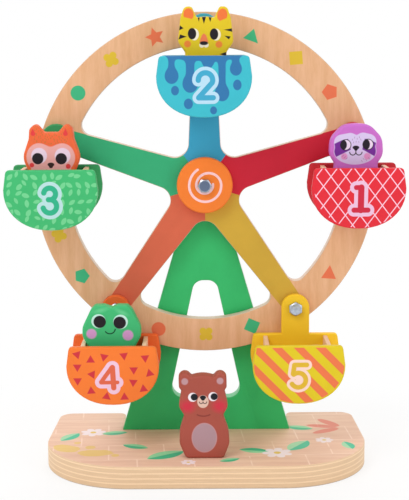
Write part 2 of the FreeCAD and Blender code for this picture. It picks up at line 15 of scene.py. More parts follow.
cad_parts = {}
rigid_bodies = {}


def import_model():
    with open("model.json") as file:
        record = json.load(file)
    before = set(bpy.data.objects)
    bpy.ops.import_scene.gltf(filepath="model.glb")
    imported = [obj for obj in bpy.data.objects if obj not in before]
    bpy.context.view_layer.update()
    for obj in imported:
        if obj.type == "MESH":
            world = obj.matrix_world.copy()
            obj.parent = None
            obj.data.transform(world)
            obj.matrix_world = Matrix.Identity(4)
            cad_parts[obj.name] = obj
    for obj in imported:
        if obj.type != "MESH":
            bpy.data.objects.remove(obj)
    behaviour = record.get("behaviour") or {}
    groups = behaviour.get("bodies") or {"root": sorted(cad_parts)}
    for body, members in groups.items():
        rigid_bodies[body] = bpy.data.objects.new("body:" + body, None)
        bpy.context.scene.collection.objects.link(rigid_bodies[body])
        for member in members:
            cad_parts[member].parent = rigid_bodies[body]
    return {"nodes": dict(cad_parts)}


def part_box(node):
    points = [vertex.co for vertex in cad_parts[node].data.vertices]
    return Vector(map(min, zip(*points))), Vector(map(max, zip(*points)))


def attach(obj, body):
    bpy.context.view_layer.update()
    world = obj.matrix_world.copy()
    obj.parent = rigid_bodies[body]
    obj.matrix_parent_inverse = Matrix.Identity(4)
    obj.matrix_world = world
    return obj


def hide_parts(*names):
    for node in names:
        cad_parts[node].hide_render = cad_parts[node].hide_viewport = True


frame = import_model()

logging.basicConfig(level=logging.INFO, format="%(message)s")
log = logging.getLogger("ferris_wheel")

Pair = tuple[float, float]
Triple = tuple[float, float, float]
Colour = tuple[float, float, float, float]
Piece = bpy.types.Object
Material = bpy.types.Material
EdgeTest = Callable[[bmesh.types.BMEdge], bool]

MM = 0.001
AXLE_HEIGHT = 225.2
PIVOT_RADIUS = 124.0
SPOKE_STEP = 72.0
WHEEL_FRONT = 11.9
WHEEL_THICKNESS = 10.0
HUB_THICKNESS = 8.0
STAND_BACK = 36.0
STAND_THICKNESS = 12.0
BASE_THICKNESS = 18.0
FIGURE_THICKNESS = 12.0
PANEL_THICKNESS = 6.0
PANEL_TOP = -21.0
HEX_FLATS = 10.0
HEX_HEAD = 4.0
AXLE_BORE = 3.15
AXLE_THREAD = 28.0


def tone(*parts: int) -> Colour:
    """The linear colour that shaders use for a screen colour of three numbers up to 255."""
    shares = [part / 255 for part in parts]
    return (*(share / 12.92 if share <= 0.04045 else ((share + 0.055) / 1.055) ** 2.4
              for share in shares), 1.0)


def scaled(colour: Colour, factor: float) -> Colour:
    """The colour made lighter or darker by a factor."""
    return (*(part * factor for part in colour[:3]), 1.0)


class Wire:
    """A number or vector in a material's node tree; arithmetic on it adds Math nodes."""

    def __init__(self, recipe: "Recipe", socket: bpy.types.NodeSocket) -> None:
        """Keeps the socket and the recipe that it belongs to."""
        self.recipe = recipe
        self.socket = socket

    def math(self, operation: str, *others: "Wire | float") -> "Wire":
        """A Math node on this number and others."""
        return self.recipe.math(operation, self, *others)

    def __add__(self, other: "Wire | float") -> "Wire":
        """Sum."""
        return self.math("ADD", other)

    def __radd__(self, other: float) -> "Wire":
        """Sum with a plain number first."""
        return self.math("ADD", other)

    def __sub__(self, other: "Wire | float") -> "Wire":
        """Difference."""
        return self.math("SUBTRACT", other)

    def __rsub__(self, other: float) -> "Wire":
        """Difference with a plain number first."""
        return self.recipe.math("SUBTRACT", other, self)

    def __mul__(self, other: "Wire | float") -> "Wire":
        """Product."""
        return self.math("MULTIPLY", other)

    def __rmul__(self, other: float) -> "Wire":
        """Product with a plain number first."""
        return self.math("MULTIPLY", other)

    def __truediv__(self, other: "Wire | float") -> "Wire":
        """Quotient."""
        return self.math("DIVIDE", other)

    def __rtruediv__(self, other: float) -> "Wire":
        """Quotient with a plain number first."""
        return self.recipe.math("DIVIDE", other, self)

    def __neg__(self) -> "Wire":
        """The number with its sign turned."""
        return self.math("MULTIPLY", -1.0)

    def __abs__(self) -> "Wire":
        """The number without its sign."""
        return self.math("ABSOLUTE")


Layer = tuple[Wire, Colour, float] | tuple[Wire, Colour, float, "Wire | float"]


class Recipe:
    """One material or sky, whose nodes come from Python expressions."""

    def __init__(self, name: str, sky: bool = False) -> None:
        """Starts an empty material or sky.

        Args:
            name: its name.
            sky: whether it is a sky.
        """
        self.made = (bpy.data.worlds if sky else bpy.data.materials).new(name)
        self.made.use_nodes = True
        self.tree = self.made.node_tree
        self.tree.nodes.clear()
        self.end = "ShaderNodeOutputWorld" if sky else "ShaderNodeOutputMaterial"
        self.coordinates = self.node("ShaderNodeTexCoord",
                                     output="Generated" if sky else "Object")

    def node(self, kind: str, settings: dict[str, object] | None = None,
             inputs: dict[str | int, object] | None = None, output: str | int = 0) -> Wire:
        """Adds a node.

        Args:
            kind: the node's type.
            settings: its properties, set before its sockets.
            inputs: values or wires of its sockets.
            output: the socket that the wire comes from.

        Returns:
            The wire out of the node.
        """
        item = self.tree.nodes.new(kind)
        for name, value in (settings or {}).items():
            setattr(item, name, value)
        for name, value in (inputs or {}).items():
            if isinstance(value, Wire):
                self.tree.links.new(value.socket, item.inputs[name])
            else:
                item.inputs[name].default_value = value
        return Wire(self, item.outputs[output])

    def math(self, operation: str, *values: Wire | float, clamp: bool = False) -> Wire:
        """Adds a Math node, whose result stays between 0 and 1 if it is clamped."""
        return self.node("ShaderNodeMath", {"operation": operation, "use_clamp": clamp},
                         dict(enumerate(values)))

    def vector(self, operation: str, *values: object, output: str = "Vector") -> Wire:
        """Adds a Vector Math node."""
        return self.node("ShaderNodeVectorMath", {"operation": operation},
                         dict(enumerate(values)), output)

    def measure(self, operation: str, *values: object) -> Wire:
        """A number that is taken from vectors, such as a length or a distance."""
        return self.vector(operation, *values, output="Value")

    def flat(self, across: Wire, up: Wire) -> Wire:
        """The flat vector that two numbers make."""
        return self.node("ShaderNodeCombineXYZ", inputs={0: across, 1: up})

    def split(self, vector: Wire) -> tuple[Wire, Wire, Wire]:
        """The three numbers of a vector."""
        item = self.node("ShaderNodeSeparateXYZ", inputs={0: vector})
        return tuple(Wire(self, output) for output in item.socket.node.outputs)

    def mix(self, factor: Wire | float, first: Wire | Colour, second: Wire | Colour) -> Wire:
        """Blends two colours; a factor of 1 gives the second."""
        return self.node("ShaderNodeMix", {"data_type": "RGBA"},
                         {0: factor, 6: first, 7: second}, 2)

    def place(self, origin: Sequence[float] = (0, 0, 0), turn: Sequence[float] = (0, 0, 0),
              stretch: Sequence[float] = (1, 1, 1)) -> Wire:
        """The surface's own place in millimetres.

        Args:
            origin: what is taken off after the turn, in millimetres.
            turn: turn about each axis, in degrees.
            stretch: factors that squeeze a pattern along each axis.

        Returns:
            The vector.
        """
        return self.node("ShaderNodeMapping", {"vector_type": "POINT"}, {
            "Vector": self.coordinates, "Location": [-part for part in origin],
            "Rotation": [math.radians(part) for part in turn],
            "Scale": [part / MM for part in stretch]})

    def noise(self, vector: Wire, scale: float, detail: float = 3.0,
              roughness: float = 0.55) -> Wire:
        """Smooth noise about 0.5, with its scale in features to a millimetre."""
        return self.node("ShaderNodeTexNoise", inputs={
            "Vector": vector, "Scale": scale, "Detail": detail, "Roughness": roughness})

    def ramp(self, value: Wire, low: float, high: float) -> Wire:
        """A number that runs from 0 at low to 1 at high and stays between them."""
        return self.node("ShaderNodeMapRange", {"interpolation_type": "SMOOTHSTEP"},
                         {0: value, 1: low, 2: high})

    def ahead(self, low: float, high: float) -> Wire:
        """The cover of a piece's front: it runs from 0 to 1 between two reaches forward."""
        return self.ramp(-self.split(self.place())[1], low, high)

    def ink(self, distance: Wire, soft: float) -> Wire:
        """The cover of a printed shape: 1 inside it and 0 outside, with a soft edge."""
        return self.math("MULTIPLY_ADD", distance, -1 / soft, 0.5, clamp=True)

    def printed(self, colour: Wire | Colour, *layers: Layer) -> Wire:
        """Prints layers on a colour, from the lowest to the highest.

        Args:
            colour: what is under them.
            layers: each one's distance, ink, softness and, where it is thin, its cover.

        Returns:
            The printed colour.
        """
        for distance, ink, soft, *covers in layers:
            mask = self.ink(distance, soft)
            for cover in covers:
                mask = mask * cover
            colour = self.mix(mask, colour, ink)
        return colour

    def finish(self, colour: Wire, roughness: Wire, relief: Wire, depth: float,
               **sockets: float) -> Material:
        """Ends the material with its surface.

        Args:
            colour: the base colour.
            roughness: how matt it is.
            relief: its height between 0 and 1.
            depth: how deep the relief is, in millimetres.
            sockets: other sockets of the surface, by name with underscores.

        Returns:
            The material.
        """
        bump = self.node("ShaderNodeBump", inputs={
            "Strength": 1.0, "Distance": depth * MM, "Height": relief})
        return self.close(self.node("ShaderNodeBsdfPrincipled", inputs={
            "Base Color": colour, "Roughness": roughness, "Normal": bump,
            **{name.replace("_", " "): value for name, value in sockets.items()}}))

    def close(self, surface: Wire) -> bpy.types.ID:
        """Links a shader to the output and gives the finished material or sky."""
        self.tree.links.new(surface.socket, self.tree.nodes.new(self.end).inputs["Surface"])
        return self.made


def union(shapes: Iterable[Wire]) -> Wire:
    """Distance to any of several shapes."""
    return reduce(lambda first, shape: first.math("MINIMUM", shape), shapes)


def overlap(shapes: Iterable[Wire]) -> Wire:
    """Distance to what several shapes have in common."""
    return reduce(lambda first, shape: first.math("MAXIMUM", shape), shapes)


def melted(first: Wire, second: Wire, reach: float) -> Wire:
    """Distance to two shapes that run into each other with rounded corners."""
    return first.math("SMOOTH_MIN", second, reach)


def each(shape: Callable[..., Wire], *places: Sequence[object]) -> Wire:
    """Distance to any of several shapes of one kind, given by their numbers."""
    return union(shape(*place) for place in places)


class Spot:
    """A flat place on a printed face, in millimetres, from which shapes are measured."""

    def __init__(self, recipe: Recipe, point: Wire) -> None:
        """Keeps the recipe and the flat point, whose third number is always 0."""
        self.recipe = recipe
        self.point = point

    @classmethod
    def front(cls, recipe: Recipe, x: float, z: float) -> "Spot":
        """A place on an upright face, with its middle at x and z."""
        wire = recipe.place((x, z, 0), (-90, 0, 0))
        return cls(recipe, recipe.vector("MULTIPLY", wire, (1, 1, 0)))

    @classmethod
    def top(cls, recipe: Recipe) -> "Spot":
        """A place on a face that lies flat, with its middle at the origin."""
        return cls(recipe, recipe.vector("MULTIPLY", recipe.place(), (1, 1, 0)))

    def moved(self, x: float, y: float, turn: float = 0.0, size: Pair = (1.0, 1.0)) -> "Spot":
        """A place moved, turned and stretched on the same face.

        Args:
            x, y: the new middle.
            turn: turn against the clock, in degrees.
            size: how much wider and taller what is drawn there becomes.

        Returns:
            The new place.
        """
        return Spot(self.recipe, self.recipe.node(
            "ShaderNodeMapping", {"vector_type": "TEXTURE"}, {
                "Vector": self.point, "Location": (x, y, 0),
                "Rotation": (0, 0, math.radians(turn)), "Scale": (*size, 1)}))

    def parts(self) -> tuple[Wire, Wire]:
        """The place's two numbers, across and up."""
        return self.recipe.split(self.point)[:2]

    def disc(self, x: float, y: float, radius: float) -> Wire:
        """Distance to a round spot."""
        return self.recipe.measure("DISTANCE", self.point, (x, y, 0)) - radius

    def oval(self, x: float, y: float, width: float, height: float, turn: float = 0.0) -> Wire:
        """Distance to an oval spot, given by its half sizes and its turn in degrees."""
        length = self.recipe.measure("LENGTH", self.moved(x, y, turn, (width, height)).point)
        return (length - 1.0) * min(width, height)

    def line(self, x: float, y: float, to_x: float, to_y: float, width: float) -> Wire:
        """Distance to a straight stroke with round ends.

        Args:
            x, y: where it begins.
            to_x, to_y: where it ends.
            width: the stroke's width.

        Returns:
            The distance.
        """
        run = Vector((to_x - x, to_y - y, 0))
        offset = self.recipe.vector("SUBTRACT", self.point, (x, y, 0))
        along = self.recipe.measure("DOT_PRODUCT", offset, run / run.length_squared)
        foot = self.recipe.node("ShaderNodeVectorMath", {"operation": "SCALE"}, {
            0: run, "Scale": self.recipe.math("ADD", along, 0.0, clamp=True)}, "Vector")
        return self.recipe.measure("DISTANCE", offset, foot) - width / 2

    def arc(self, x: float, y: float, radius: float, begin: float, end: float,
            width: float) -> Wire:
        """Distance to a curved stroke.

        Args:
            x, y: the middle of its circle.
            radius: the circle's radius.
            begin, end: its two ends, in degrees against the clock from the right.
            width: the stroke's width.

        Returns:
            The distance.
        """
        half = math.radians(abs(end - begin) / 2)
        across, up = self.moved(x, y, (begin + end) / 2).parts()
        up = abs(up)
        flat = self.recipe.flat(across, up)
        ring = abs(self.recipe.measure("LENGTH", flat) - radius)
        tip = (radius * math.cos(half), radius * math.sin(half), 0)
        beyond = up.math("ARCTAN2", across).math("GREATER_THAN", half)
        return ring + beyond * (self.recipe.measure("DISTANCE", flat, tip) - ring) - width / 2

    def half_plane(self, x: float, y: float, facing: float) -> Wire:
        """Distance past a straight edge through a point.

        Args:
            x, y: a point on the edge.
            facing: the direction of its outer side, in degrees against the clock.

        Returns:
            The distance, positive on the outer side.
        """
        normal = (math.cos(math.radians(facing)), math.sin(math.radians(facing)), 0)
        reach = normal[0] * x + normal[1] * y
        return self.recipe.measure("DOT_PRODUCT", self.point, normal) - reach

    def polygon(self, *corners: Pair) -> Wire:
        """Distance to a shape with straight sides and no hollow corner.

        Args:
            corners: its corners, against the clock.

        Returns:
            The distance.
        """
        sides = []
        for start, end in zip(corners, [*corners[1:], corners[0]]):
            facing = math.degrees(math.atan2(end[1] - start[1], end[0] - start[0])) - 90
            sides.append(self.half_plane(*start, facing))
        return overlap(sides)

    def regular(self, x: float, y: float, radius: float, count: int, turn: float = 0.0,
                waist: float | None = None) -> Wire:
        """Distance to a regular shape, or to a star.

        Args:
            x, y: its middle.
            radius: its middle to its points.
            count: how many points it has.
            turn: turn of its first point from straight up, against the clock.
            waist: a star's inner radius; without it the sides are straight.

        Returns:
            The distance.
        """
        middle = self.moved(x, y, turn)
        across, up = middle.parts()
        step = math.pi / count
        angle = across.math("ARCTAN2", up).math("PINGPONG", step)
        length = self.recipe.measure("LENGTH", middle.point)
        inner = radius * math.cos(step) if waist is None else waist
        hollow = Vector((inner * math.cos(step), inner * math.sin(step)))
        run = (hollow - Vector((radius, 0))).normalized()
        return (length * (angle.math("COSINE") * run.y - angle.math("SINE") * run.x)
                - radius * run.y)


class Paint(Enum):
    """The colours of paints and prints."""

    RED = tone(228, 44, 58)
    DEEP_RED = tone(208, 32, 56)
    ORANGE = tone(248, 126, 50)
    LEMON = tone(228, 204, 34)
    TURQUOISE = tone(62, 190, 206)
    SEA_BLUE = tone(58, 164, 202)
    DEEP_BLUE = tone(50, 118, 172)
    SPOKE_GREEN = tone(54, 174, 120)
    CORAL = tone(216, 104, 74)
    OCHRE = tone(210, 170, 60)
    PRINT_CORAL = tone(230, 114, 76)
    PRINT_GREEN = tone(44, 182, 128)
    PRINT_YELLOW = tone(220, 186, 48)
    PALE_PINK = tone(236, 192, 220)
    PALE_BLUE = tone(186, 222, 242)
    PALE_GREEN = tone(184, 222, 222)
    PALE_ROSE = tone(252, 218, 204)
    BLACK = tone(28, 20, 28)


def painted(recipe: Recipe, colour: Colour, strength: float = 0.1) -> Wire:
    """Paint that lies a little thicker in some places.

    Args:
        recipe: the material.
        colour: the paint's colour.
        strength: how much it varies.

    Returns:
        The varied colour.
    """
    cloud = recipe.noise(recipe.place(), 0.05, 3.0, 0.6)
    share = recipe.ramp(cloud * 0.6 + speckle(recipe) * 0.4, 0.35, 0.68)
    return recipe.mix(share * strength, colour, recipe.node(
        "ShaderNodeHueSaturation", inputs={"Color": colour, "Value": 0.55}))


def speckle(recipe: Recipe) -> Wire:
    """Fine wood pores and ink grain, about 0.5."""
    return recipe.noise(recipe.place(stretch=(1, 1, 0.35)), 2.2, 4.0, 0.7)


def satin(recipe: Recipe, colour: Wire, low: float = 0.36) -> Material:
    """Ends a material as satin paint over wood, with its least roughness."""
    fine = speckle(recipe)
    return recipe.finish(colour, fine * 0.16 + low, fine, 0.04, Specular_IOR_Level=0.22)


def lacquered(recipe: Recipe, colour: Wire, relief: Wire) -> Material:
    """Ends a material as thinly lacquered wood, with its pores as relief."""
    return recipe.finish(colour, relief * 0.12 + 0.44, relief, 0.06, Specular_IOR_Level=0.22)


@dataclass(frozen=True)
class LayeredEdge:
    """The plies that show along a cut edge, parallel to the board's faces."""

    axis: int
    middle: float
    thickness: float
    plies: int
    phase: float = 0.5
    share: float = 0.5

    def depth(self, recipe: Recipe) -> Wire:
        """How far a point lies from the board's middle."""
        return recipe.split(recipe.place())[self.axis] - self.middle

    def under(self, recipe: Recipe, face: Wire, plies: Wire) -> Wire:
        """The face's colour, and the plies between the outer faces."""
        cut = recipe.ramp(self.thickness / 2 - abs(self.depth(recipe)), 0.04, 0.3)
        return recipe.mix(cut, face, plies)

    def colour(self, recipe: Recipe, light: Colour, dark: Colour) -> Wire:
        """The plies' colours.

        Args:
            recipe: the material.
            light: the colour of the plies that run along the edge.
            dark: the colour of the plies that end at it.

        Returns:
            The colour.
        """
        ply = self.thickness / self.plies
        wobble = recipe.noise(recipe.place(stretch=(0.25, 0.25, 0.25)), 0.12, 2.0) - 0.5
        fold = (self.depth(recipe) / ply + wobble * 0.16 + self.phase).math("PINGPONG", 1.0)
        layered = recipe.mix(recipe.ramp(fold, self.share - 0.12, self.share + 0.12), light, dark)
        fibres = recipe.ramp(recipe.noise(recipe.place(), 1.4, 4.0, 0.7), 0.45, 0.75)
        layered = recipe.mix(fibres * 0.3, layered, scaled(dark, 0.84))
        stretch = [0.06, 0.06, 0.06]
        stretch[self.axis] = 1.6
        streaks = recipe.noise(recipe.place(stretch=stretch), 0.9, 3.0, 0.6)
        layered = recipe.mix(recipe.ramp(streaks, 0.5, 0.68) * 0.3, layered, scaled(light, 1.08))
        glue = abs(fold - self.share) * ply - 0.08
        return recipe.printed(layered, (glue, scaled(dark, 0.6), 0.2, 0.3))


@dataclass(frozen=True)
class Finish:
    """The look of a surface; each kind of finish ends the material in its own way."""

    name: str

    def surface(self, recipe: Recipe) -> Material:
        """Ends the material with this finish."""
        raise NotImplementedError

    def material(self) -> Material:
        """Builds the material."""
        return self.surface(Recipe(self.name))


@dataclass(frozen=True)
class BirchFinish(Finish):
    """Clear-coated birch, with grain and fine pores."""

    along: Triple
    light: Colour
    dark: Colour
    shift: float = 0.0

    def wood(self, recipe: Recipe) -> tuple[Wire, Wire]:
        """The wood's colour, with growth lines, and the pores that are its relief.

        Args:
            recipe: the material.

        Returns:
            The colour and the relief.
        """
        place = recipe.place((self.shift, self.shift, self.shift), stretch=self.along)
        fine = recipe.noise(place, 1.1, 4.0, 0.65)
        share = recipe.noise(place, 0.16, 3.0, 0.5) * 0.65 + fine * 0.35
        colour = recipe.mix(recipe.ramp(share, 0.3, 0.7), self.dark, self.light)
        pores = recipe.ramp(fine, 0.6, 0.78) * 0.22
        return recipe.mix(pores, colour, scaled(self.dark, 0.75)), fine

    def surface(self, recipe: Recipe) -> Material:
        """Ends the material as bare lacquered wood."""
        return lacquered(recipe, *self.wood(recipe))


@dataclass(frozen=True)
class PaintFinish(Finish):
    """Satin paint of one colour over wood, with the grain just showing."""

    colour: Colour

    def surface(self, recipe: Recipe) -> Material:
        """Ends the material with its paint."""
        return satin(recipe, painted(recipe, self.colour))


@dataclass(frozen=True)
class SteelFinish(Finish):
    """Zinc-plated steel with fine turning marks, darker patches at random and a painted dark
    reflection in the middle of each head.
    """

    colour: Colour = tone(188, 198, 212)
    heads: tuple[Pair, ...] = ()
    dull: Colour = tone(104, 118, 142)
    dull_radius: float = 4.3

    def surface(self, recipe: Recipe) -> Material:
        """Ends the material with its metal.

        Args:
            recipe: the material.

        Returns:
            The material.
        """
        fine = recipe.noise(recipe.place(stretch=(1, 0.2, 1)), 3.0, 4.0, 0.7)
        patch = recipe.ramp(recipe.noise(recipe.place(), 0.5, 2.0), 0.35, 0.7)
        colour = recipe.mix(patch, self.colour, scaled(self.colour, 0.78))
        # Painted reflection: the middle of each head in heads is darkened as if it mirrored a dark
        # surround.
        dark_reflections = (Spot.front(recipe, *head).disc(0, 0, self.dull_radius) for head in self.heads)
        colour = recipe.printed(colour, *((middle, self.dull, 0.8) for middle in dark_reflections))
        return recipe.finish(colour, fine * 0.25 + 0.18, fine, 0.015, Metallic=1.0)


@dataclass(frozen=True)
class StandFinish(Finish):
    """Green paint on the stand's faces and edges, paler where it soaks into the plies."""

    def surface(self, recipe: Recipe) -> Material:
        """Ends the material with its paint."""
        edge = LayeredEdge(1, STAND_BACK - STAND_THICKNESS / 2, STAND_THICKNESS, 7)
        return satin(recipe, edge.under(
            recipe, painted(recipe, tone(57, 195, 113), 0.16),
            edge.colour(recipe, tone(140, 214, 168), tone(96, 186, 130))))


@dataclass(frozen=True)
class BoardFinish(Finish):
    """Plywood base with plies along its edge and a pale garden print on top.

    The print fades in between the heights in top, and a painted shade darkens the board's lower
    edge between the two depths of the field after top, all in millimetres from the board's middle.
    """

    stone: Pair = (22.0, 18.0)
    joint: float = 1.0
    top: Pair = (7.9, 8.6)
    arris: Pair = (7.9, 8.7)
    mint: tuple[Colour, Colour] = (tone(130, 214, 160), tone(62, 178, 132))
    jade: tuple[Colour, Colour] = (tone(150, 216, 170), tone(70, 190, 150))

    def paving(self, recipe: Recipe) -> Layer:
        """The pale joints of a paved path, which is worn away in places.

        Args:
            recipe: the material.

        Returns:
            The printed layer.
        """
        across, up = Spot.top(recipe).moved(6, 4, 4).parts()
        length, width = self.stone
        row = (up / (width * 2) + 0.5).math("FLOOR")
        joints = union((
            (across + row.math("MODULO", 2.0) * length + 900).math("PINGPONG", length),
            (up + 918).math("PINGPONG", width))) - self.joint / 2
        worn = recipe.ramp(recipe.noise(recipe.place(), 0.06, 2.0), 0.3, 0.6)
        return joints, tone(250, 222, 204), 0.5, worn * 0.7

    def leaf(self, spot: Spot, length: float, inks: tuple[Colour, Colour]) -> list[Layer]:
        """One leaf that points to the right of its place.

        Args:
            spot: the leaf's own place.
            length: tip to tip.
            inks: its light and dark sides.

        Returns:
            The printed layers.
        """
        rise = length * 0.34
        shape = overlap(spot.disc(0, y, rise * 1.65) for y in (-rise, rise))
        lower = overlap((shape, spot.parts()[1] - 0.3))
        return [(shape, inks[0], 0.4, 0.9), (lower, inks[1], 0.4, 0.95)]

    def daisy(self, spot: Spot, size: float) -> list[Layer]:
        """One open flower with seven petals.

        Args:
            spot: the flower's own place.
            size: its radius.

        Returns:
            The printed layers.
        """
        across, up = spot.parts()
        length = spot.recipe.measure("LENGTH", spot.point)
        wave = abs((up.math("ARCTAN2", across) * 3.5).math("COSINE"))
        petals = length - (wave.math("POWER", 0.6) * 0.42 + 0.58) * size
        return [(petals, tone(240, 228, 232), 0.5, 0.88),
                (length - size * 0.24, tone(226, 196, 96), 0.5)]

    def garden(self, recipe: Recipe) -> list[Layer]:
        """The pebbles, petals, leaves and flowers of the print.

        Args:
            recipe: the material.

        Returns:
            The printed layers.
        """
        spot = Spot.top(recipe)
        pebble = melted(spot.oval(-112, -26, 13, 8, -30), spot.oval(-88, -38, 15, 8), 3.0)
        pebble = union((melted(pebble, spot.disc(-93, -24, 4.5), 3.0), spot.disc(-72, -44, 3.0),
                        spot.disc(-104, -12, 2.6)))
        pebble = pebble + recipe.noise(recipe.place(), 0.09, 2.0) * 5 - 2.5
        petals = union(spot.oval(114 + 17 * math.cos(turn), 26 + 17 * math.sin(turn), 13, 4.4,
                                 math.degrees(turn)) for turn in (2.2, 2.9, 3.7))
        layers: list[Layer] = [(pebble, tone(228, 196, 96), 0.6, 0.75),
                               (petals, tone(222, 116, 96), 0.6, 0.8)]
        for x, y, turn, length, inks in (
                (-112, 4, 58, 27, self.jade), (-76, 14, 12, 24, self.mint),
                (-57, -22, -24, 25, self.mint), (-32, -44, 34, 38, self.mint),
                (38, -34, 166, 27, self.mint), (74, -22, 56, 34, self.jade),
                (78, 26, -18, 26, self.mint), (114, -22, 104, 22, self.jade),
                (18, -57, 24, 19, self.mint)):
            layers += self.leaf(spot.moved(x, y, turn), length, inks)
        for x, y, turn, size in ((-94, 16, 10, 10.5), (56, -40, 30, 12.0), (96, -8, 0, 7.5),
                                 (-14, -62, 15, 6.0)):
            layers += self.daisy(spot.moved(x, y, turn), size)
        return layers

    def surface(self, recipe: Recipe) -> Material:
        """Ends the material: print above, plies along the edge and a painted shade on the lower
        edge.

        Args:
            recipe: the material.

        Returns:
            The material.
        """
        birch = BirchFinish(self.name, (0.1, 1.0, 1.0), tone(236, 200, 174), tone(224, 182, 156))
        wood, relief = birch.wood(recipe)
        edge = LayeredEdge(2, BASE_THICKNESS / 2, BASE_THICKNESS, 9, phase=0.3, share=0.3)
        depth = edge.depth(recipe)
        printed = recipe.printed(wood, self.paving(recipe), *self.garden(recipe))
        face = recipe.mix(recipe.ramp(depth, *self.top), wood, printed)
        plies = edge.colour(recipe, tone(249, 218, 182), tone(231, 197, 159))
        # Painted shade: the lowest plies darken towards the floor, as the shadow under the board's
        # edge.
        plies = recipe.mix(recipe.ramp(-depth, *self.arris) * 0.8, plies, tone(152, 132, 114))
        return lacquered(recipe, edge.under(recipe, face, plies), relief)


@dataclass(frozen=True)
class WheelFinish(Finish):
    """Birch ring with printed shapes and painted spokes; plies show at the cut edges.

    A spoke's strip of paint gives way to its sector of the hub between the radii in root, and
    all paint fades in between the depths in front, from the plate's middle.
    """

    spokes: tuple[Paint, ...] = (Paint.SEA_BLUE, Paint.DEEP_RED, Paint.OCHRE, Paint.CORAL,
                                 Paint.SPOKE_GREEN)
    half_width: float = 14.45
    narrowing: float = 0.0472
    root: Pair = (43.0, 45.0)
    lobe: Pair = (2.5, 2.85)
    front: Pair = (-4.2, -4.6)

    def shapes(self, spot: Spot) -> dict[Paint, Wire]:
        """The shapes printed on the ring, one distance for each colour."""
        return {
            Paint.PRINT_CORAL: union((
                each(spot.regular, (-38.5, 117.2, 7.9, 5, 19, 3.8), (99.9, 73.3, 6.6, 5, 18)),
                spot.disc(-38.5, -118.5, 5.8),
                spot.polygon((94.1, -76.9), (106.3, -77.8), (101.3, -66.2)))),
            Paint.PRINT_GREEN: union((
                each(spot.regular, (-100.2, -74.0, 6.4, 5, -18), (38.0, -116.4, 7.2, 4, 22)),
                spot.disc(-100.2, 73.7, 5.9),
                spot.polygon((30.9, 116.0), (42.7, 111.7), (39.6, 123.3)))),
            Paint.PRINT_YELLOW: union((
                spot.regular(72.8, 100.2, 7.3, 4, 49.5),
                *(self.clover(spot.moved(*place)) for place in (
                    (-73.5, 99.9, 20), (0.3, -122.9), (-118.0, -40.2, 30))))),
        }

    def clover(self, spot: Spot) -> Wire:
        """A shape of four round lobes."""
        aside, radius = self.lobe
        return each(spot.disc, (0, 0, 2.4), *((x, y, radius) for x in (-aside, aside)
                                              for y in (-aside, aside)))

    def spoke(self, spot: Spot, turn: float) -> Wire:
        """Distance to one spoke's paint: a sector at the hub and a narrowing strip beyond.

        Args:
            spot: the place of the wheel's centre.
            turn: the spoke's turn from straight up, with the clock.

        Returns:
            The distance.
        """
        across, along = spot.moved(0, 0, -turn).parts()
        side = abs(across)
        sector = side - along * math.tan(math.radians(SPOKE_STEP / 2)) - 0.3
        strip = side - self.half_width + along * self.narrowing
        outer = overlap((strip, self.root[0] - along))
        return overlap((sector, union((outer, along - self.root[1])), along - PIVOT_RADIUS))

    def surface(self, recipe: Recipe) -> Material:
        """Ends the material: paint and print in front, bare wood behind, plies between.

        Args:
            recipe: the material.

        Returns:
            The material.
        """
        birch = BirchFinish(self.name, (1.0, 1.0, 0.12), tone(236, 188, 148), tone(222, 170, 126))
        wood, relief = birch.wood(recipe)
        spot = Spot.front(recipe, 0, AXLE_HEIGHT)
        spokes = [(self.spoke(spot, index * SPOKE_STEP), painted(recipe, paint.value, 0.14), 0.3)
                  for index, paint in enumerate(self.spokes)]
        shapes = [(distance, paint.value, 0.35, 0.97)
                  for paint, distance in self.shapes(spot).items()]
        edge = LayeredEdge(1, WHEEL_FRONT + WHEEL_THICKNESS / 2, WHEEL_THICKNESS, 7)
        face = recipe.mix(recipe.ramp(edge.depth(recipe), *self.front), wood,
                          recipe.printed(wood, *spokes, *shapes))
        plies = edge.colour(recipe, tone(232, 214, 198), tone(212, 184, 160))
        return lacquered(recipe, edge.under(recipe, face, plies), relief)


@dataclass(frozen=True)
class HubFinish(Finish):
    """Orange paint with a pale spiral round the bolt, of half circles that grow.

    The spiral fades in between the reaches forward in front, so the rounded rim stays plain.
    """

    turns: tuple[tuple[float, ...], ...] = (
        (3.24, -0.15, 15.64, 124.4, 180, 1.95), (0.35, -0.15, 12.75, 180, 360, 1.95),
        (3.2, 0.1, 9.95, 0, 180, 1.95), (-0.1, 0.4, 6.65, 180, 366, 1.95))
    front: Pair = (-5.6, -5.2)

    def surface(self, recipe: Recipe) -> Material:
        """Ends the material with its paint and print."""
        spot = Spot.front(recipe, 0, AXLE_HEIGHT)
        return satin(recipe, recipe.printed(painted(recipe, tone(248, 130, 48), 0.12), (
            each(spot.arc, *self.turns), tone(252, 206, 208), 0.22, recipe.ahead(*self.front))))


class Pattern(Enum):
    """What is printed on a gondola's front, in the order of the numbers."""

    LATTICE = 1
    DRIPS = 2
    LEAVES = 3
    TRIANGLES = 4
    STRIPES = 5


@dataclass(frozen=True)
class Design:
    """A gondola's print: its pattern, its inks and the strokes of its number."""

    pattern: Pattern
    ground: Colour
    motif: Colour
    figure: Colour
    outline: Colour
    number_at: Pair
    band: float
    lines: tuple[tuple[float, ...], ...]
    arcs: tuple[tuple[float, ...], ...] = ()


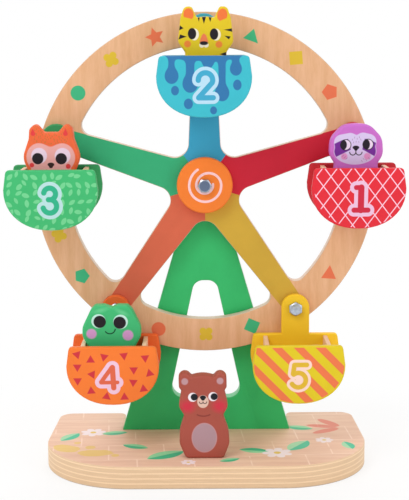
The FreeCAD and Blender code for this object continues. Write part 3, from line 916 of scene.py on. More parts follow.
@dataclass(frozen=True)
class FrontFinish(Finish):
    """A gondola's front panel: a repeated print under one large outlined number.

    The panel's outline is a flaring side below a half width at the top, and a bowl of half
    sizes below it. The print fades in between the reaches forward in front.
    """

    pivot: Pair
    design: Design
    top_half: float = 34.1
    flare: float = 0.139
    bowl: Pair = (36.5, 31.3)
    bowl_drop: float = 15.5
    mesh: Pair = (11.3, 14.9)
    leaf: Triple = (0.148, 2.1, 3.75)
    triangle: float = 3.95
    stripe: float = 8.5
    front: Pair = (38.4, 38.8)

    def lattice(self, spot: Spot) -> Wire:
        """Thin crossed lines, drawn up to a little way inside the edge.

        Args:
            spot: the place of the gondola's bolt.

        Returns:
            The distance.
        """
        across, up = spot.moved(2.4, 2.7).parts()
        wide, tall = self.mesh
        lines = union((across / wide + up / tall * lean + 40.13).math("PINGPONG", 0.5) * 9.0
                      for lean in (1, -1)) - 0.36
        return overlap((lines, self.inset(spot.moved(1.0, 0), 1.2, 0.2)))

    def drips(self, spot: Spot) -> Wire:
        """Paint that runs down from the top edge in drops of several lengths.

        Args:
            spot: the place of the gondola's bolt.

        Returns:
            The distance.
        """
        across, up = spot.parts()
        rim = PANEL_TOP - up - 3.6 + abs(across / 29.0).math("POWER", 3.0) * 3.6
        for x, drop, neck, bead in ((-24.5, 15, 4.6, 5.2), (-10.5, 21, 6.4, 5.8),
                                    (3.0, 5, 5.0, 4.0), (13.5, 28, 5.4, 5.4),
                                    (24.0, 10, 4.4, 4.4)):
            run = spot.line(x, PANEL_TOP, x, PANEL_TOP - drop, neck)
            blob = spot.oval(x, PANEL_TOP - drop, bead, bead * 1.15)
            rim = melted(rim, melted(run, blob, 4.0), 6.0)
        return union((rim, each(spot.oval, (-22, -47, 3.0, 3.6), (-12, -57, 3.4, 4.0),
                                (25, -43, 3.2, 4.0), (7, -62, 2.6, 3.0))))

    def leaves(self, spot: Spot) -> Wire:
        """Small leaves strewn at all angles.

        Args:
            spot: the place of the gondola's bolt.

        Returns:
            The distance.
        """
        recipe = spot.recipe
        scale, aside, radius = self.leaf
        cells = recipe.node("ShaderNodeTexVoronoi", {"voronoi_dimensions": "2D"}, {
            "Vector": spot.point, "Scale": scale, "Randomness": 0.5}, "Position")
        red, green, _ = recipe.split(Wire(recipe, cells.socket.node.outputs["Color"]))
        leaf = Spot(recipe, recipe.node("ShaderNodeVectorRotate", {"rotation_type": "Z_AXIS"}, {
            "Vector": recipe.vector("SUBTRACT", spot.point, cells),
            "Angle": red * 3.1 + green * 1.5 - 0.8}))
        lobes = overlap(leaf.disc(0, y, radius) for y in (-aside, aside))
        return overlap((lobes + green * 0.6 - 0.2, self.inset(spot, 0.4)))

    def triangles(self, spot: Spot) -> Wire:
        """Small triangles that point up, down and aside."""
        return union(spot.regular(x, y, self.triangle, 3, turn) for x, y, turn in (
            (-27.5, -26.5, 196), (-17, -31, 0), (-6.5, -28.5, 168), (9, -27.5, 186),
            (25.5, -29.5, 184), (-27.5, -36.5, 180), (-16, -42.5, 84), (16.5, -39, 180),
            (29, -42, 14), (-27.5, -47.5, 180), (16, -49, 176), (24, -54.5, 8),
            (-17, -56, 4), (-5, -60.5, 350), (9, -61, 2)))

    def stripes(self, spot: Spot) -> Wire:
        """Slanting bars that stop a little way inside the edge.

        Args:
            spot: the place of the gondola's bolt.

        Returns:
            The distance.
        """
        across, up = spot.parts()
        slant = across + (up - PANEL_TOP) * 0.98
        bars = (slant + 341.5).math("PINGPONG", self.stripe) - 4.0
        return overlap((bars * 0.7, self.inset(spot, 1.1, 1.1), slant - 25.0))

    def inset(self, spot: Spot, margin: float, top_margin: float | None = None) -> Wire:
        """Distance to the panel's own outline, drawn in by a margin.

        Args:
            spot: the place of the gondola's bolt.
            margin: how far it is drawn in.
            top_margin: the same at the flat top, where it differs.

        Returns:
            The distance.
        """
        across, up = spot.parts()
        side = abs(across) + (up - PANEL_TOP) * self.flare - self.top_half
        drop = (up - PANEL_TOP + self.bowl_drop).math("MINIMUM", 0.0)
        flat = spot.recipe.flat(across / self.bowl[0], drop / self.bowl[1])
        belly = (spot.recipe.measure("LENGTH", flat) - 1.0) * 33.0
        above = up - PANEL_TOP + (margin if top_margin is None else top_margin)
        return overlap((side + margin, belly + margin, above))

    def surface(self, recipe: Recipe) -> Material:
        """Ends the material: the pattern, the number's band and the number on its paint.

        Args:
            recipe: the material.

        Returns:
            The material.
        """
        design = self.design
        spot = Spot.front(recipe, *self.pivot)
        place = spot.moved(*design.number_at)
        number = union((*(place.line(*line) for line in design.lines),
                        *(place.arc(*arc) for arc in design.arcs)))
        band = number - design.band
        if design.arcs:
            band = union((band, place.disc(*design.arcs[-1][:2], 2.2)))
        base = painted(recipe, design.ground)
        pattern = getattr(self, design.pattern.name.lower())(spot)
        printed = recipe.printed(base, (pattern, design.motif, 0.3), (band, design.outline, 0.3),
                                 (number, design.figure, 0.3))
        return satin(recipe, recipe.mix(recipe.ahead(*self.front), base, printed), 0.34)


class Animal(Enum):
    """The five figures, with their paints."""

    TIGER = tone(230, 200, 36)
    SLOTH = tone(204, 112, 204)
    FOX = tone(240, 106, 60)
    FROG = tone(66, 190, 120)
    BEAR = tone(172, 84, 70)


@dataclass(frozen=True)
class FigureFinish(Finish):
    """An animal's painted wood with its printed face; each face goes from its lowest layer up.

    The face fades in between the two distances behind the front in rounding.
    """

    animal: Animal
    foot: Triple
    rounding: Pair = (1.5, 0.9)

    def tiger(self, spot: Spot) -> list[Layer]:
        """Ear linings, stripes, round eyes, nose and cheeks.

        Args:
            spot: the place of the figure's foot.

        Returns:
            The printed layers.
        """
        cream = tone(250, 238, 216)
        black = Paint.BLACK.value
        ears = union((
            overlap((spot.oval(-13.0, 63.0, 3.9, 4.6, 8), spot.half_plane(-13, 60.0, 256))),
            overlap((spot.oval(12.7, 62.3, 3.9, 4.9, -10), spot.half_plane(12.7, 58.6, 292)))))
        stripes = each(
            spot.polygon,
            ((-6.8, 63.0), (-5.1, 57.6), (-4.1, 63.0)), ((-3.4, 63.0), (-1.3, 56.0), (0.9, 63.0)),
            ((1.7, 63.0), (3.5, 57.3), (5.3, 63.0)), ((-21.6, 50.4), (-17.0, 52.6), (-19.6, 54.6)),
            ((-20.8, 44.2), (-14.8, 46.2), (-19.4, 47.8)),
            ((14.3, 51.2), (20.8, 49.6), (20.8, 52.3)), ((14.7, 46.6), (17.7, 44.0), (18.9, 46.1)),
            ((10.8, 32.8), (16.4, 31.2), (16.4, 34.6)), ((-16.5, 26), (-11, 27.6), (-16.8, 29.0)),
            ((-17.8, 17), (-11.5, 18.8), (-18, 20.4)), ((11, 22.6), (18, 21.0), (18, 24.2)),
            ((11.5, 12.6), (18.2, 11.2), (18.2, 14.4)))
        nose = spot.polygon((-4.2, 42.4), (1.5, 42.4), (0.0, 46.8), (-1.4, 48.0), (-2.6, 46.8))
        return [
            (ears, tone(240, 120, 60), 0.5), (stripes - 0.1, black, 0.35),
            (each(spot.oval, (-8.7, 47.8, 3.5, 4.4), (8.0, 47.6, 3.5, 4.4)), cream, 0.4),
            (each(spot.oval, (-10.4, 48.4, 3.2, 4.3), (6.4, 48.0, 3.2, 4.3)), black, 0.3),
            (each(spot.disc, (-3.0, 39.8, 1.9), (0.3, 39.8, 1.9)), cream, 0.4),
            (nose - 0.5, tone(240, 126, 80), 0.5), (spot.oval(-1.4, 41.2, 3.2, 1.5), black, 0.3),
            (each(spot.disc, (-13.9, 40.7, 2.6), (10.1, 40.2, 2.6)), tone(240, 134, 56), 0.7),
        ]

    def sloth(self, spot: Spot) -> list[Layer]:
        """Pale mask, dark patches, side-looking eyes, freckles and a small smile.

        Args:
            spot: the place of the figure's foot.

        Returns:
            The printed layers.
        """
        black = tone(30, 20, 34)
        brow = melted(spot.line(-11.4, 50.4, -5.0, 51.6, 12.2),
                      spot.line(5.0, 51.8, 9.2, 50.8, 12.2), 3.5)
        mask = melted(spot.oval(-1.1, 43.5, 16.5, 10.3), brow, 2.5)
        patches = overlap((mask + 0.25, each(
            spot.polygon,
            ((-19.0, 37.6), (-4.4, 44.8), (-6.6, 53.2), (-11.3, 52.2), (-19.0, 48.6)),
            ((17.4, 37.6), (17.4, 48.6), (10.8, 52.2), (6.2, 53.2), (4.4, 45.0)))))
        eyes = each(spot.disc, (-8.4, 48.5, 4.35), (8.9, 48.8, 4.35))
        pupils = each(spot.oval, (-10.9, 48.5, 3.4, 4.2), (7.3, 48.8, 3.0, 4.2))
        smile = each(spot.arc, (-2.9, 43.0, 2.4, 185, 355, 0.75), (1.9, 43.0, 2.4, 185, 355, 0.75))
        dashes = union(spot.line(x, z, x + lean, z + 1.1, 0.32) for x, z, lean in (
            (-3.4, 52.0, 0.3), (-1.6, 53.6, 0.1), (0.4, 52.6, 0.0), (2.2, 53.8, -0.2),
            (-2.6, 49.8, 0.3), (-0.4, 50.4, 0.0), (1.8, 50.2, -0.2), (3.4, 52.0, -0.4),
            (-9.6, 38.4, 1.2), (-11.0, 39.6, 1.2), (-8.2, 37.4, 1.2), (6.0, 37.0, -0.9),
            (8.0, 36.2, -0.9), (10.2, 37.4, -0.9), (4.6, 35.4, -0.7)))
        return [
            (mask, tone(216, 200, 239), 0.5),
            (each(spot.disc, (-9.5, 39.6, 2.5), (8.4, 39.6, 2.6)), tone(222, 148, 202), 0.9),
            (dashes, tone(150, 110, 160), 0.3), (patches, tone(116, 42, 152), 0.4),
            (eyes, black, 0.3), (eyes + 0.6, tone(236, 218, 242), 0.3),
            (overlap((eyes, pupils)), black, 0.3),
            (union((spot.oval(-0.5, 46.4, 2.6, 1.5), spot.disc(-0.5, 45.4, 1.5))), black, 0.3),
            (union((smile, spot.line(-0.5, 46, -0.5, 43.0, 0.75))), black, 0.3),
        ]

    def fox(self, spot: Spot) -> list[Layer]:
        """Rosy mask, pale rings round large eyes, small nose, cheeks and a flecked forehead.

        Args:
            spot: the place of the figure's foot.

        Returns:
            The printed layers.
        """
        red = tone(228, 62, 66)
        brown = tone(54, 30, 28)
        recipe = spot.recipe
        across, up = spot.parts()
        mask = melted(spot.oval(-9.4, 40.4, 9.8, 10.8), spot.oval(8.6, 40.2, 9.8, 10.8), 11.0)
        mask = union((mask, spot.oval(-0.4, 33, 15.6, 12)))
        flecks = recipe.node("ShaderNodeTexVoronoi", {"voronoi_dimensions": "2D"}, {
            "Vector": recipe.vector("MULTIPLY", spot.point, (1.0, 0.55, 1.0)), "Scale": 0.72},
            "Distance")
        crown = overlap((flecks * 1.4 - 0.34, 0.3 - mask, 50.4 - up, abs(across) - 13.0))
        ears = union((each(spot.disc, (-13.7, 58.6, 1.8), (11.4, 58.5, 1.8)),
                      each(spot.polygon, ((-15.3, 59.3), (-12.1, 59.3), (-13.8, 62.5)),
                           ((9.8, 59.2), (13.0, 59.2), (11.6, 62.6)))))
        return [
            (crown, tone(206, 112, 58), 0.35), (mask, tone(240, 170, 166), 0.6),
            (each(spot.disc, (-9.4, 41.6, 6.1), (8.8, 41.4, 6.1)), tone(240, 212, 232), 0.6),
            (each(spot.disc, (-10.5, 39.3, 4.4), (7.7, 39.1, 4.4)), Paint.BLACK.value, 0.3),
            (union((spot.oval(-0.4, 34.6, 2.6, 1.6), spot.disc(-0.4, 33.4, 1.6))), brown, 0.3),
            (ears, red, 0.6), (each(spot.disc, (-15.2, 34.3, 1.8), (13.0, 33.2, 1.9)), red, 0.4),
            (each(spot.arc, (-2.2, 30.8, 1.8, 190, 350, 0.5), (1.4, 30.8, 1.8, 190, 350, 0.5)),
             brown, 0.3),
        ]

    def frog(self, spot: Spot) -> list[Layer]:
        """Faint painted highlights at the brows, wide round eyes, lilac cheeks, a smile and spots.
        """
        light = tone(98, 202, 140)
        return [
            # Painted highlights: two soft pale ovals at the brows; the same pale green prints the
            # spots.
            (each(spot.oval, (-8.5, 57.4, 5.0, 1.5, 14), (8.5, 55.8, 4.6, 1.6, -24)), light, 2.0),
            (each(spot.disc, (-10.1, 48.8, 5.7), (7.3, 48.2, 5.8)), tone(196, 236, 224), 0.4),
            (each(spot.disc, (-9.2, 48.3, 4.95), (6.6, 47.5, 4.95)), Paint.BLACK.value, 0.3),
            (each(spot.disc, (-15.9, 38.6, 4.0), (13.0, 37.3, 4.2)), tone(214, 158, 210), 1.2),
            (spot.arc(-1.3, 42.9, 4.3, 216, 350, 0.95), tone(12, 62, 40), 0.3),
            (each(spot.oval, (-7, 24, 3, 2), (6, 27, 2.2, 1.6), (2, 18, 2.6, 2)), light, 0.5),
        ]

    def bear(self, spot: Spot) -> list[Layer]:
        """Ear linings, side-looking eyes, cream muzzle, red cheeks and a pale belly."""
        black = tone(22, 24, 32)
        return [
            (each(spot.disc, (-14.8, 61.8, 2.6), (12.5, 62.1, 2.6)), tone(192, 148, 154), 0.9),
            (each(spot.oval, (-12.8, 42.0, 5.2, 4.5), (12.2, 42.2, 5.2, 4.5)), tone(206, 52, 70),
             5.0),
            (each(spot.disc, (-8.7, 49.3, 3.6), (7.0, 49.7, 3.6)), tone(242, 234, 240), 0.4),
            (each(spot.disc, (-7.5, 49.4, 2.75), (7.9, 49.7, 2.75)), black, 0.3),
            (spot.oval(-0.8, 45.8, 4.4, 5.1), tone(228, 192, 176), 0.4),
            (union((spot.oval(-0.8, 49.1, 2.4, 1.6), spot.disc(-0.8, 48.2, 1.6))), black, 0.3),
            (each(spot.arc, (-2.2, 45.7, 1.5, 185, 355, 0.6), (0.7, 45.7, 1.5, 185, 355, 0.6)),
             tone(48, 28, 30), 0.3),
            (spot.arc(-0.4, 44.9, 10.8, 243, 297, 0.9), tone(132, 58, 52), 0.5),
            (spot.oval(0.1, 16.8, 9.9, 11.9), tone(198, 148, 152), 0.6),
            (spot.oval(0.1, 16.8, 9.3, 11.3), tone(178, 144, 152), 0.5),
        ]

    def surface(self, recipe: Recipe) -> Material:
        """Ends the material: the animal's face printed on the front of its paint.

        Args:
            recipe: the material.

        Returns:
            The material.
        """
        x, y, z = self.foot
        base = painted(recipe, self.animal.value, 0.12)
        face = getattr(self, self.animal.name.lower())(Spot.front(recipe, x, z))
        reach = FIGURE_THICKNESS / 2 - y
        ahead = recipe.ahead(reach - self.rounding[0], reach - self.rounding[1])
        return satin(recipe, recipe.mix(ahead, base, recipe.printed(base, *face)), 0.38)


def only(piece: Piece) -> None:
    """Selects one piece alone and makes it the active one."""
    bpy.ops.object.select_all(action="DESELECT")
    piece.select_set(True)
    bpy.context.view_layer.objects.active = piece


def named(name: str) -> Piece:
    """Names the active piece and its mesh."""
    piece = bpy.context.view_layer.objects.active
    piece.name = piece.data.name = name
    return piece


def settle(piece: Piece, angle: float = 32.0) -> Piece:
    """Puts a piece's place into its mesh, turns its faces outwards and smooths them.

    Args:
        piece: the piece.
        angle: the sharpest edge that is still smoothed, in degrees.

    Returns:
        The piece.
    """
    only(piece)
    bpy.ops.object.transform_apply(location=True, rotation=True, scale=True)
    bpy.ops.object.mode_set(mode="EDIT")
    bpy.ops.mesh.select_all(action="SELECT")
    bpy.ops.mesh.normals_make_consistent(inside=False)
    bpy.ops.object.mode_set(mode="OBJECT")
    bpy.ops.object.shade_smooth_by_angle(angle=math.radians(angle))
    return piece


def dress(piece: Piece, material: Material) -> None:
    """Gives a piece one material all over."""
    piece.data.materials.clear()
    piece.data.materials.append(material)


def stand_for(piece: Piece, material: Material, node: str, body: str, slot: str) -> None:
    """Dresses a piece, makes it take a node's place and ride on its body.

    Args:
        piece: the new piece.
        material: its material.
        node: the node that it stands for.
        body: the body that it rides on.
        slot: the name of a material slot; it is not used.
    """
    dress(piece, material)
    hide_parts(node)
    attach(piece, body)
    log.info("%s stands for %s on %s: %d faces", piece.name, node, body,
             len(piece.data.polygons))


def is_sharp(edge: bmesh.types.BMEdge, least: float = 50.0) -> bool:
    """Whether two faces meet at an edge at more than an angle in degrees."""
    return len(edge.link_faces) == 2 and edge.calc_face_angle(0.0) > math.radians(least)


def at_depth(depth: float, tolerance: float = 0.02) -> EdgeTest:
    """A test for sharp edges that lie flat at one depth, in millimetres."""
    def test(edge: bmesh.types.BMEdge) -> bool:
        """Whether the edge is sharp and at the depth."""
        return is_sharp(edge) and all(abs(end.co.y / MM - depth) < tolerance
                                      for end in edge.verts)

    return test


def outer_rim(thickness: float) -> EdgeTest:
    """A test for the sharp edges of a plate's outline, which leaves its grooves alone.

    Args:
        thickness: the plate's thickness in millimetres.

    Returns:
        The test.
    """
    def test(edge: bmesh.types.BMEdge) -> bool:
        """Whether a wall as deep as the plate meets the edge.

        Args:
            edge: the edge.

        Returns:
            Whether it is one.
        """
        if not is_sharp(edge) or abs(edge.verts[0].co.y - edge.verts[1].co.y) > 0.01 * MM:
            return False
        for face in edge.link_faces:
            depths = [corner.co.y for corner in face.verts]
            if abs(max(depths) - min(depths) - thickness * MM) < 0.05 * MM:
                return abs(face.normal.y) < 0.1
        return False

    return test


def softened(node: str, name: str, radius: float, test: EdgeTest = is_sharp,
             segments: int = 4) -> Piece:
    """A copy of a node's solid with its sharp edges rounded.

    Args:
        node: the node that is copied.
        name: the new piece's name.
        radius: the rounding in millimetres.
        test: which edges are rounded.
        segments: how many steps the rounding has.

    Returns:
        The new piece.
    """
    only(frame["nodes"][node])
    bpy.ops.object.duplicate(linked=False)
    piece = named(name)
    for key in list(piece.keys()):
        del piece[key]
    bpy.ops.object.parent_clear(type="CLEAR_KEEP_TRANSFORM")
    bpy.ops.mesh.customdata_custom_splitnormals_clear()
    bpy.ops.object.mode_set(mode="EDIT")
    bpy.ops.mesh.select_all(action="SELECT")
    bpy.ops.mesh.remove_doubles(threshold=0.002 * MM)
    bpy.ops.mesh.dissolve_limited(angle_limit=math.radians(0.3))
    bpy.ops.mesh.select_mode(type="EDGE")
    bpy.ops.mesh.select_all(action="DESELECT")
    for edge in filter(test, bmesh.from_edit_mesh(piece.data).edges):
        edge.select_set(True)
    bmesh.update_edit_mesh(piece.data)
    bpy.ops.mesh.bevel(offset=radius * MM, offset_type="OFFSET", segments=segments,
                       profile=0.5, affect="EDGES", clamp_overlap=False, loop_slide=True)
    bpy.ops.mesh.select_all(action="SELECT")
    bpy.ops.mesh.remove_doubles(threshold=0.01 * MM)
    bpy.ops.object.mode_set(mode="OBJECT")
    return settle(piece)


def turned(name: str, centre: Pair, stations: Sequence[Pair], steps: int = 48,
           angle: float = 32.0) -> Piece:
    """A round piece about a line along Y, drawn out of a disc station by station.

    Args:
        name: its name.
        centre: x and z of its axis, in millimetres.
        stations: radius and y of each step, in millimetres.
        steps: how many sides the round has.
        angle: the sharpest edge that is smoothed, in degrees.

    Returns:
        The piece.
    """
    x, z = centre
    radius, start = stations[0]
    bpy.ops.object.select_all(action="DESELECT")
    bpy.ops.mesh.primitive_circle_add(
        vertices=steps, radius=radius * MM, fill_type="NGON",
        location=(x * MM, start * MM, z * MM), rotation=(math.radians(90), 0, 0))
    piece = named(name)
    bpy.ops.object.mode_set(mode="EDIT")
    bpy.ops.mesh.select_mode(type="FACE")
    bpy.ops.mesh.select_all(action="SELECT")
    for (before, last), (after, here) in zip(stations, stations[1:]):
        bpy.ops.mesh.extrude_region_move(
            TRANSFORM_OT_translate={"value": (0, (here - last) * MM, 0)})
        bpy.ops.transform.resize(value=(after / before, 1, after / before),
                                 center_override=(x * MM, here * MM, z * MM))
    bpy.ops.object.mode_set(mode="OBJECT")
    return settle(piece, angle)


def six_sided(name: str, centre: Pair, flats: float, front: float, back: float,
              turn: float = 0.0) -> Piece:
    """A hexagon bar along Y, with one corner up unless it is turned.

    Args:
        name: its name.
        centre: x and z of its axis, in millimetres.
        flats: its width across the flats.
        front, back: y of its ends.
        turn: its turn in degrees.

    Returns:
        The piece.
    """
    bpy.ops.object.select_all(action="DESELECT")
    bpy.ops.mesh.primitive_cylinder_add(
        vertices=6, radius=flats / math.sqrt(3) * MM, depth=(back - front) * MM,
        location=(centre[0] * MM, (front + back) / 2 * MM, centre[1] * MM),
        rotation=(math.radians(90), -math.radians(turn), 0))
    return settle(named(name))


def shape_with(piece: Piece, tool: Piece, operation: str, angle: float) -> Piece:
    """Cuts or limits a piece with another, which is then gone.

    Args:
        piece: the piece.
        tool: the other piece.
        operation: INTERSECT or DIFFERENCE.
        angle: the sharpest edge that is smoothed, in degrees.

    Returns:
        The piece.
    """
    only(piece)
    cut = piece.modifiers.new("cut", "BOOLEAN")
    cut.operation = operation
    cut.solver = "EXACT"
    cut.object = tool
    bpy.ops.object.modifier_apply(modifier=cut.name)
    bpy.data.objects.remove(tool)
    return settle(piece, angle)


def joined(pieces: Sequence[Piece], name: str) -> Piece:
    """Makes several pieces one object.

    Args:
        pieces: the pieces.
        name: the object's name.

    Returns:
        The object.
    """
    only(pieces[0])
    for piece in pieces:
        piece.select_set(True)
    bpy.ops.object.join()
    return named(name)


def copied(piece: Piece, name: str, offset: Sequence[float]) -> Piece:
    """A copy with its own mesh, moved by an offset in millimetres.

    Args:
        piece: what is copied.
        name: the copy's name.
        offset: how far it is moved.

    Returns:
        The copy.
    """
    only(piece)
    bpy.ops.object.duplicate(linked=False)
    copy = named(name)
    copy.location = Vector(offset) * MM
    bpy.ops.object.transform_apply(location=True, rotation=False, scale=False)
    return copy


@dataclass
class Fastener:
    """A hexagon bolt along Y, with a bevelled head, a plain shank and a rolled thread."""

    centre: Pair
    seat: float
    length: float
    thread_from: float = 0.0
    turn: float = 0.0
    flats: float = HEX_FLATS
    head: float = HEX_HEAD
    radius: float = 3.0

    def hex_head(self, name: str) -> Piece:
        """The head: a hexagon whose corners are turned off, with a shallow dish.

        Args:
            name: its name.

        Returns:
            The head.
        """
        corner = self.flats / math.sqrt(3) + 0.15
        front = self.seat - self.head
        head = six_sided(name, self.centre, self.flats, front, self.seat, self.turn)
        blank = turned(f"{name}_blank", self.centre, (
            (self.flats * 0.30, front + 0.28), (self.flats * 0.38, front),
            (self.flats * 0.46, front), (corner, front + 0.85),
            (corner, self.seat - 0.3), (self.flats * 0.485, self.seat)))
        return shape_with(head, blank, "INTERSECT", 25)

    def shank(self, name: str) -> Piece:
        """The shank, with ridges where it is threaded.

        Args:
            name: its name.

        Returns:
            The shank.
        """
        end = self.seat + self.length
        pitch, crest = 1.0, self.radius - 0.02
        place = max(self.thread_from, self.seat)
        stations = [(self.radius, self.seat - 0.5), (self.radius, place)]
        while place + pitch < end - 0.8:
            stations += [(self.radius - 0.45, place + 0.45), (crest, place + 0.9),
                         (crest, place + pitch)]
            place += pitch
        stations += [(self.radius - 0.1, end - 0.7), (self.radius - 0.75, end)]
        return turned(name, self.centre, stations, 32, 20)

    def build(self, name: str) -> Piece:
        """Builds the whole bolt."""
        return joined([self.hex_head(f"{name}_head"), self.shank(f"{name}_shank")], name)


@dataclass
class LockNut:
    """A hexagon nut with a nylon ring let into its collar."""

    centre: Pair
    front: float
    height: float
    flats: float = HEX_FLATS
    hexagon_share: float = 0.72

    def build(self, name: str) -> Piece:
        """Builds the nut: a bevelled hexagon and a round collar behind it.

        Args:
            name: its name.

        Returns:
            The nut.
        """
        corner = self.flats / math.sqrt(3) + 0.1
        middle = self.front + self.height * self.hexagon_share
        back = self.front + self.height - 0.15
        bar = six_sided(f"{name}_hexagon", self.centre, self.flats, self.front, middle)
        blank = turned(f"{name}_blank", self.centre, (
            (self.flats * 0.47, self.front), (corner, self.front + 0.6),
            (corner, middle - 0.6), (self.flats * 0.46, middle)))
        nut = shape_with(bar, blank, "INTERSECT", 25)
        collar = turned(f"{name}_collar", self.centre, (
            (self.flats * 0.45, middle - 0.2), (self.flats * 0.45, back - 0.45),
            (self.flats * 0.42, back), (self.flats * 0.39, back)), angle=25)
        return joined([nut, collar], name)


@dataclass
class Washer:
    """A flat ring along Y with softened rims."""

    centre: Pair
    inner: float
    outer: float
    front: float
    back: float
    rim: float = 0.25

    def build(self, name: str) -> Piece:
        """Builds the ring from a disc, less its hole.

        Args:
            name: the start of its name.

        Returns:
            The ring.
        """
        disc = turned(f"{name}_disc", self.centre, (
            (self.outer - self.rim, self.front), (self.outer, self.front + self.rim),
            (self.outer, self.back - self.rim), (self.outer - self.rim, self.back)), 64)
        hole = turned(f"{name}_hole", self.centre,
                      ((self.inner, self.front - 1), (self.inner, self.back + 1)))
        return shape_with(disc, hole, "DIFFERENCE", 40)


@dataclass
class Base:
    """The plywood board and the two screws that hold the stand."""

    board: BoardFinish = BoardFinish("base_board_print")
    steel: SteelFinish = SteelFinish("screw_steel")
    rounding: float = 0.9
    screws: Pair = (-45.0, 45.0)
    socket_flats: float = 2.6
    profile: tuple[Pair, ...] = ((0.4, -40.0), (2.0, -37.0), (2.0, 0.0), (4.0, 0.0), (4.0, 1.2),
                                 (3.7, 2.0), (3.0, 2.6))

    def build(self) -> None:
        """Rounds the board's edges and builds the screws with their hexagon sockets."""
        board = softened("base_board", "base_board_wood", self.rounding)
        stand_for(board, self.board.material(), "base_board", "frame", "base_wood")
        made = [self.screw(f"stand_screw_{index}", x) for index, x in enumerate(self.screws)]
        screws = joined(made, "stand_screws_steel")
        stand_for(screws, self.steel.material(), "stand_screws", "frame", "steel")

    def screw(self, name: str, x: float) -> Piece:
        """A screw whose rounded head is sunk for a hexagon key.

        Args:
            name: its name.
            x: its place across the toy.

        Returns:
            The screw.
        """
        centre = (x, BASE_THICKNESS / 2)
        body = turned(name, centre,
                      [(radius, STAND_BACK + y) for radius, y in self.profile], 40)
        socket = six_sided(f"{name}_socket", centre, self.socket_flats, STAND_BACK + 1.1,
                           STAND_BACK + 3.5)
        return shape_with(body, socket, "DIFFERENCE", 30)


@dataclass
class Stand:
    """The green upright plate with its arched window."""

    finish: StandFinish = StandFinish("stand_green_paint")
    rounding: float = 0.8

    def build(self) -> None:
        """Rounds the plate's edges and paints it."""
        plate = softened("stand_plate", "stand_plate_wood", self.rounding,
                         outer_rim(STAND_THICKNESS))
        stand_for(plate, self.finish.material(), "stand_plate", "frame", "green_stand")


def pivot_of(number: int) -> Pair:
    """x and z of a gondola's bolt, in millimetres."""
    turn = math.radians({1: 1, 2: 0, 3: 4, 4: 3, 5: 2}[number] * SPOKE_STEP)
    return PIVOT_RADIUS * math.sin(turn), AXLE_HEIGHT + PIVOT_RADIUS * math.cos(turn)


def offset_of(number: int) -> Triple:
    """How far a gondola's bolt is from that of gondola 2, in millimetres."""
    (x, z), (start_x, start_z) = pivot_of(number), pivot_of(2)
    return x - start_x, 0, z - start_z


@dataclass
class Wheel:
    """Ring and spokes in one plate, the hub disc and everything on the axle."""

    plate: WheelFinish = WheelFinish("wheel_birch_print")
    hub: HubFinish = HubFinish("hub_orange_print")
    steel: SteelFinish = SteelFinish("axle_steel")
    centre: Pair = (0.0, AXLE_HEIGHT)
    rounding: float = 0.8
    hub_rounding: float = 1.6

    def build(self) -> None:
        """Builds the wheel, its hub and the axle's fasteners."""
        plate = softened("wheel_plate", "wheel_plate_wood", self.rounding,
                         outer_rim(WHEEL_THICKNESS))
        stand_for(plate, self.plate.material(), "wheel_plate", "wheel", "wheel_wood")
        hub = softened("hub_disc", "hub_disc_wood", self.hub_rounding,
                       at_depth(WHEEL_FRONT - HUB_THICKNESS))
        stand_for(hub, self.hub.material(), "hub_disc", "wheel", "orange_disc")
        steel = self.steel.material()
        self.axle(steel)
        self.pivots(steel)

    def axle(self, steel: Material) -> None:
        """Builds the bolt, spacer, washer and lock nut on the wheel's centre line.

        Args:
            steel: the metal of all but the bolt, whose head gets a painted dark reflection in its
                middle.
        """
        low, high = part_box("axle_bolt")
        seat = low.y / MM + HEX_HEAD
        bolt = Fastener(self.centre, seat, high.y / MM - seat, AXLE_THREAD, 30.0)
        # The bolt's head gets a painted dark reflection in its middle.
        stand_for(bolt.build("axle_bolt_steel"),
                  SteelFinish("axle_bolt_steel", heads=(self.centre,)).material(),
                  "axle_bolt", "frame", "steel")
        for node in ("axle_spacer", "axle_washer"):
            low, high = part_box(node)
            ring = Washer(self.centre, AXLE_BORE, (high.x - low.x) / 2 / MM, low.y / MM,
                          high.y / MM)
            stand_for(ring.build(f"{node}_steel"), steel, node, "frame", "steel")
        low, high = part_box("axle_lock_nut")
        nut = LockNut(self.centre, low.y / MM, (high.y - low.y) / MM)
        stand_for(nut.build("axle_lock_nut_steel"), steel, "axle_lock_nut", "frame", "steel")

    def pivots(self, steel: Material) -> None:
        """Builds the five gondola bolts: one is modelled and the others are its copies.

        Args:
            steel: their metal.
        """
        low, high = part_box("gondola_bolts")
        seat = low.y / MM + HEX_HEAD
        first = Fastener(pivot_of(2), seat, high.y / MM - seat).build("gondola_bolt_2")
        copies = [copied(first, f"gondola_bolt_{number}", offset_of(number))
                  for number in (1, 3, 4, 5)]
        bolts = joined([first, *copies], "gondola_bolts_steel")
        stand_for(bolts, steel, "gondola_bolts", "wheel", "steel")


@dataclass(frozen=True)
class Gondola:
    """One hanging box: two painted panels, two slats and a floor."""

    design: Design
    slot: str
    back: Colour

    def build(self, models: dict[str, Piece]) -> None:
        """Copies the five pieces to this gondola's bolt and dresses them.

        Args:
            models: the pieces as modelled once, by name, for gondola 2.
        """
        number = self.design.pattern.value
        name = f"gondola_{number}"
        front = FrontFinish(f"{name}_front_print", pivot_of(number), self.design)
        back = PaintFinish(f"{name}_back_paint", self.back)
        wood = BirchFinish(f"{name}_birch", (1.0, 0.12, 1.0), tone(252, 218, 186),
                           tone(232, 186, 150), 17.0 * number).material()
        painted_parts = {"front_panel": front.material(), "back_panel": back.material()}
        for part, model in models.items():
            node = f"{part}_{number}"
            stand_for(copied(model, f"{node}_wood", offset_of(number)),
                      painted_parts.get(part, wood), node, name,
                      self.slot if part in painted_parts else "plain_wood")


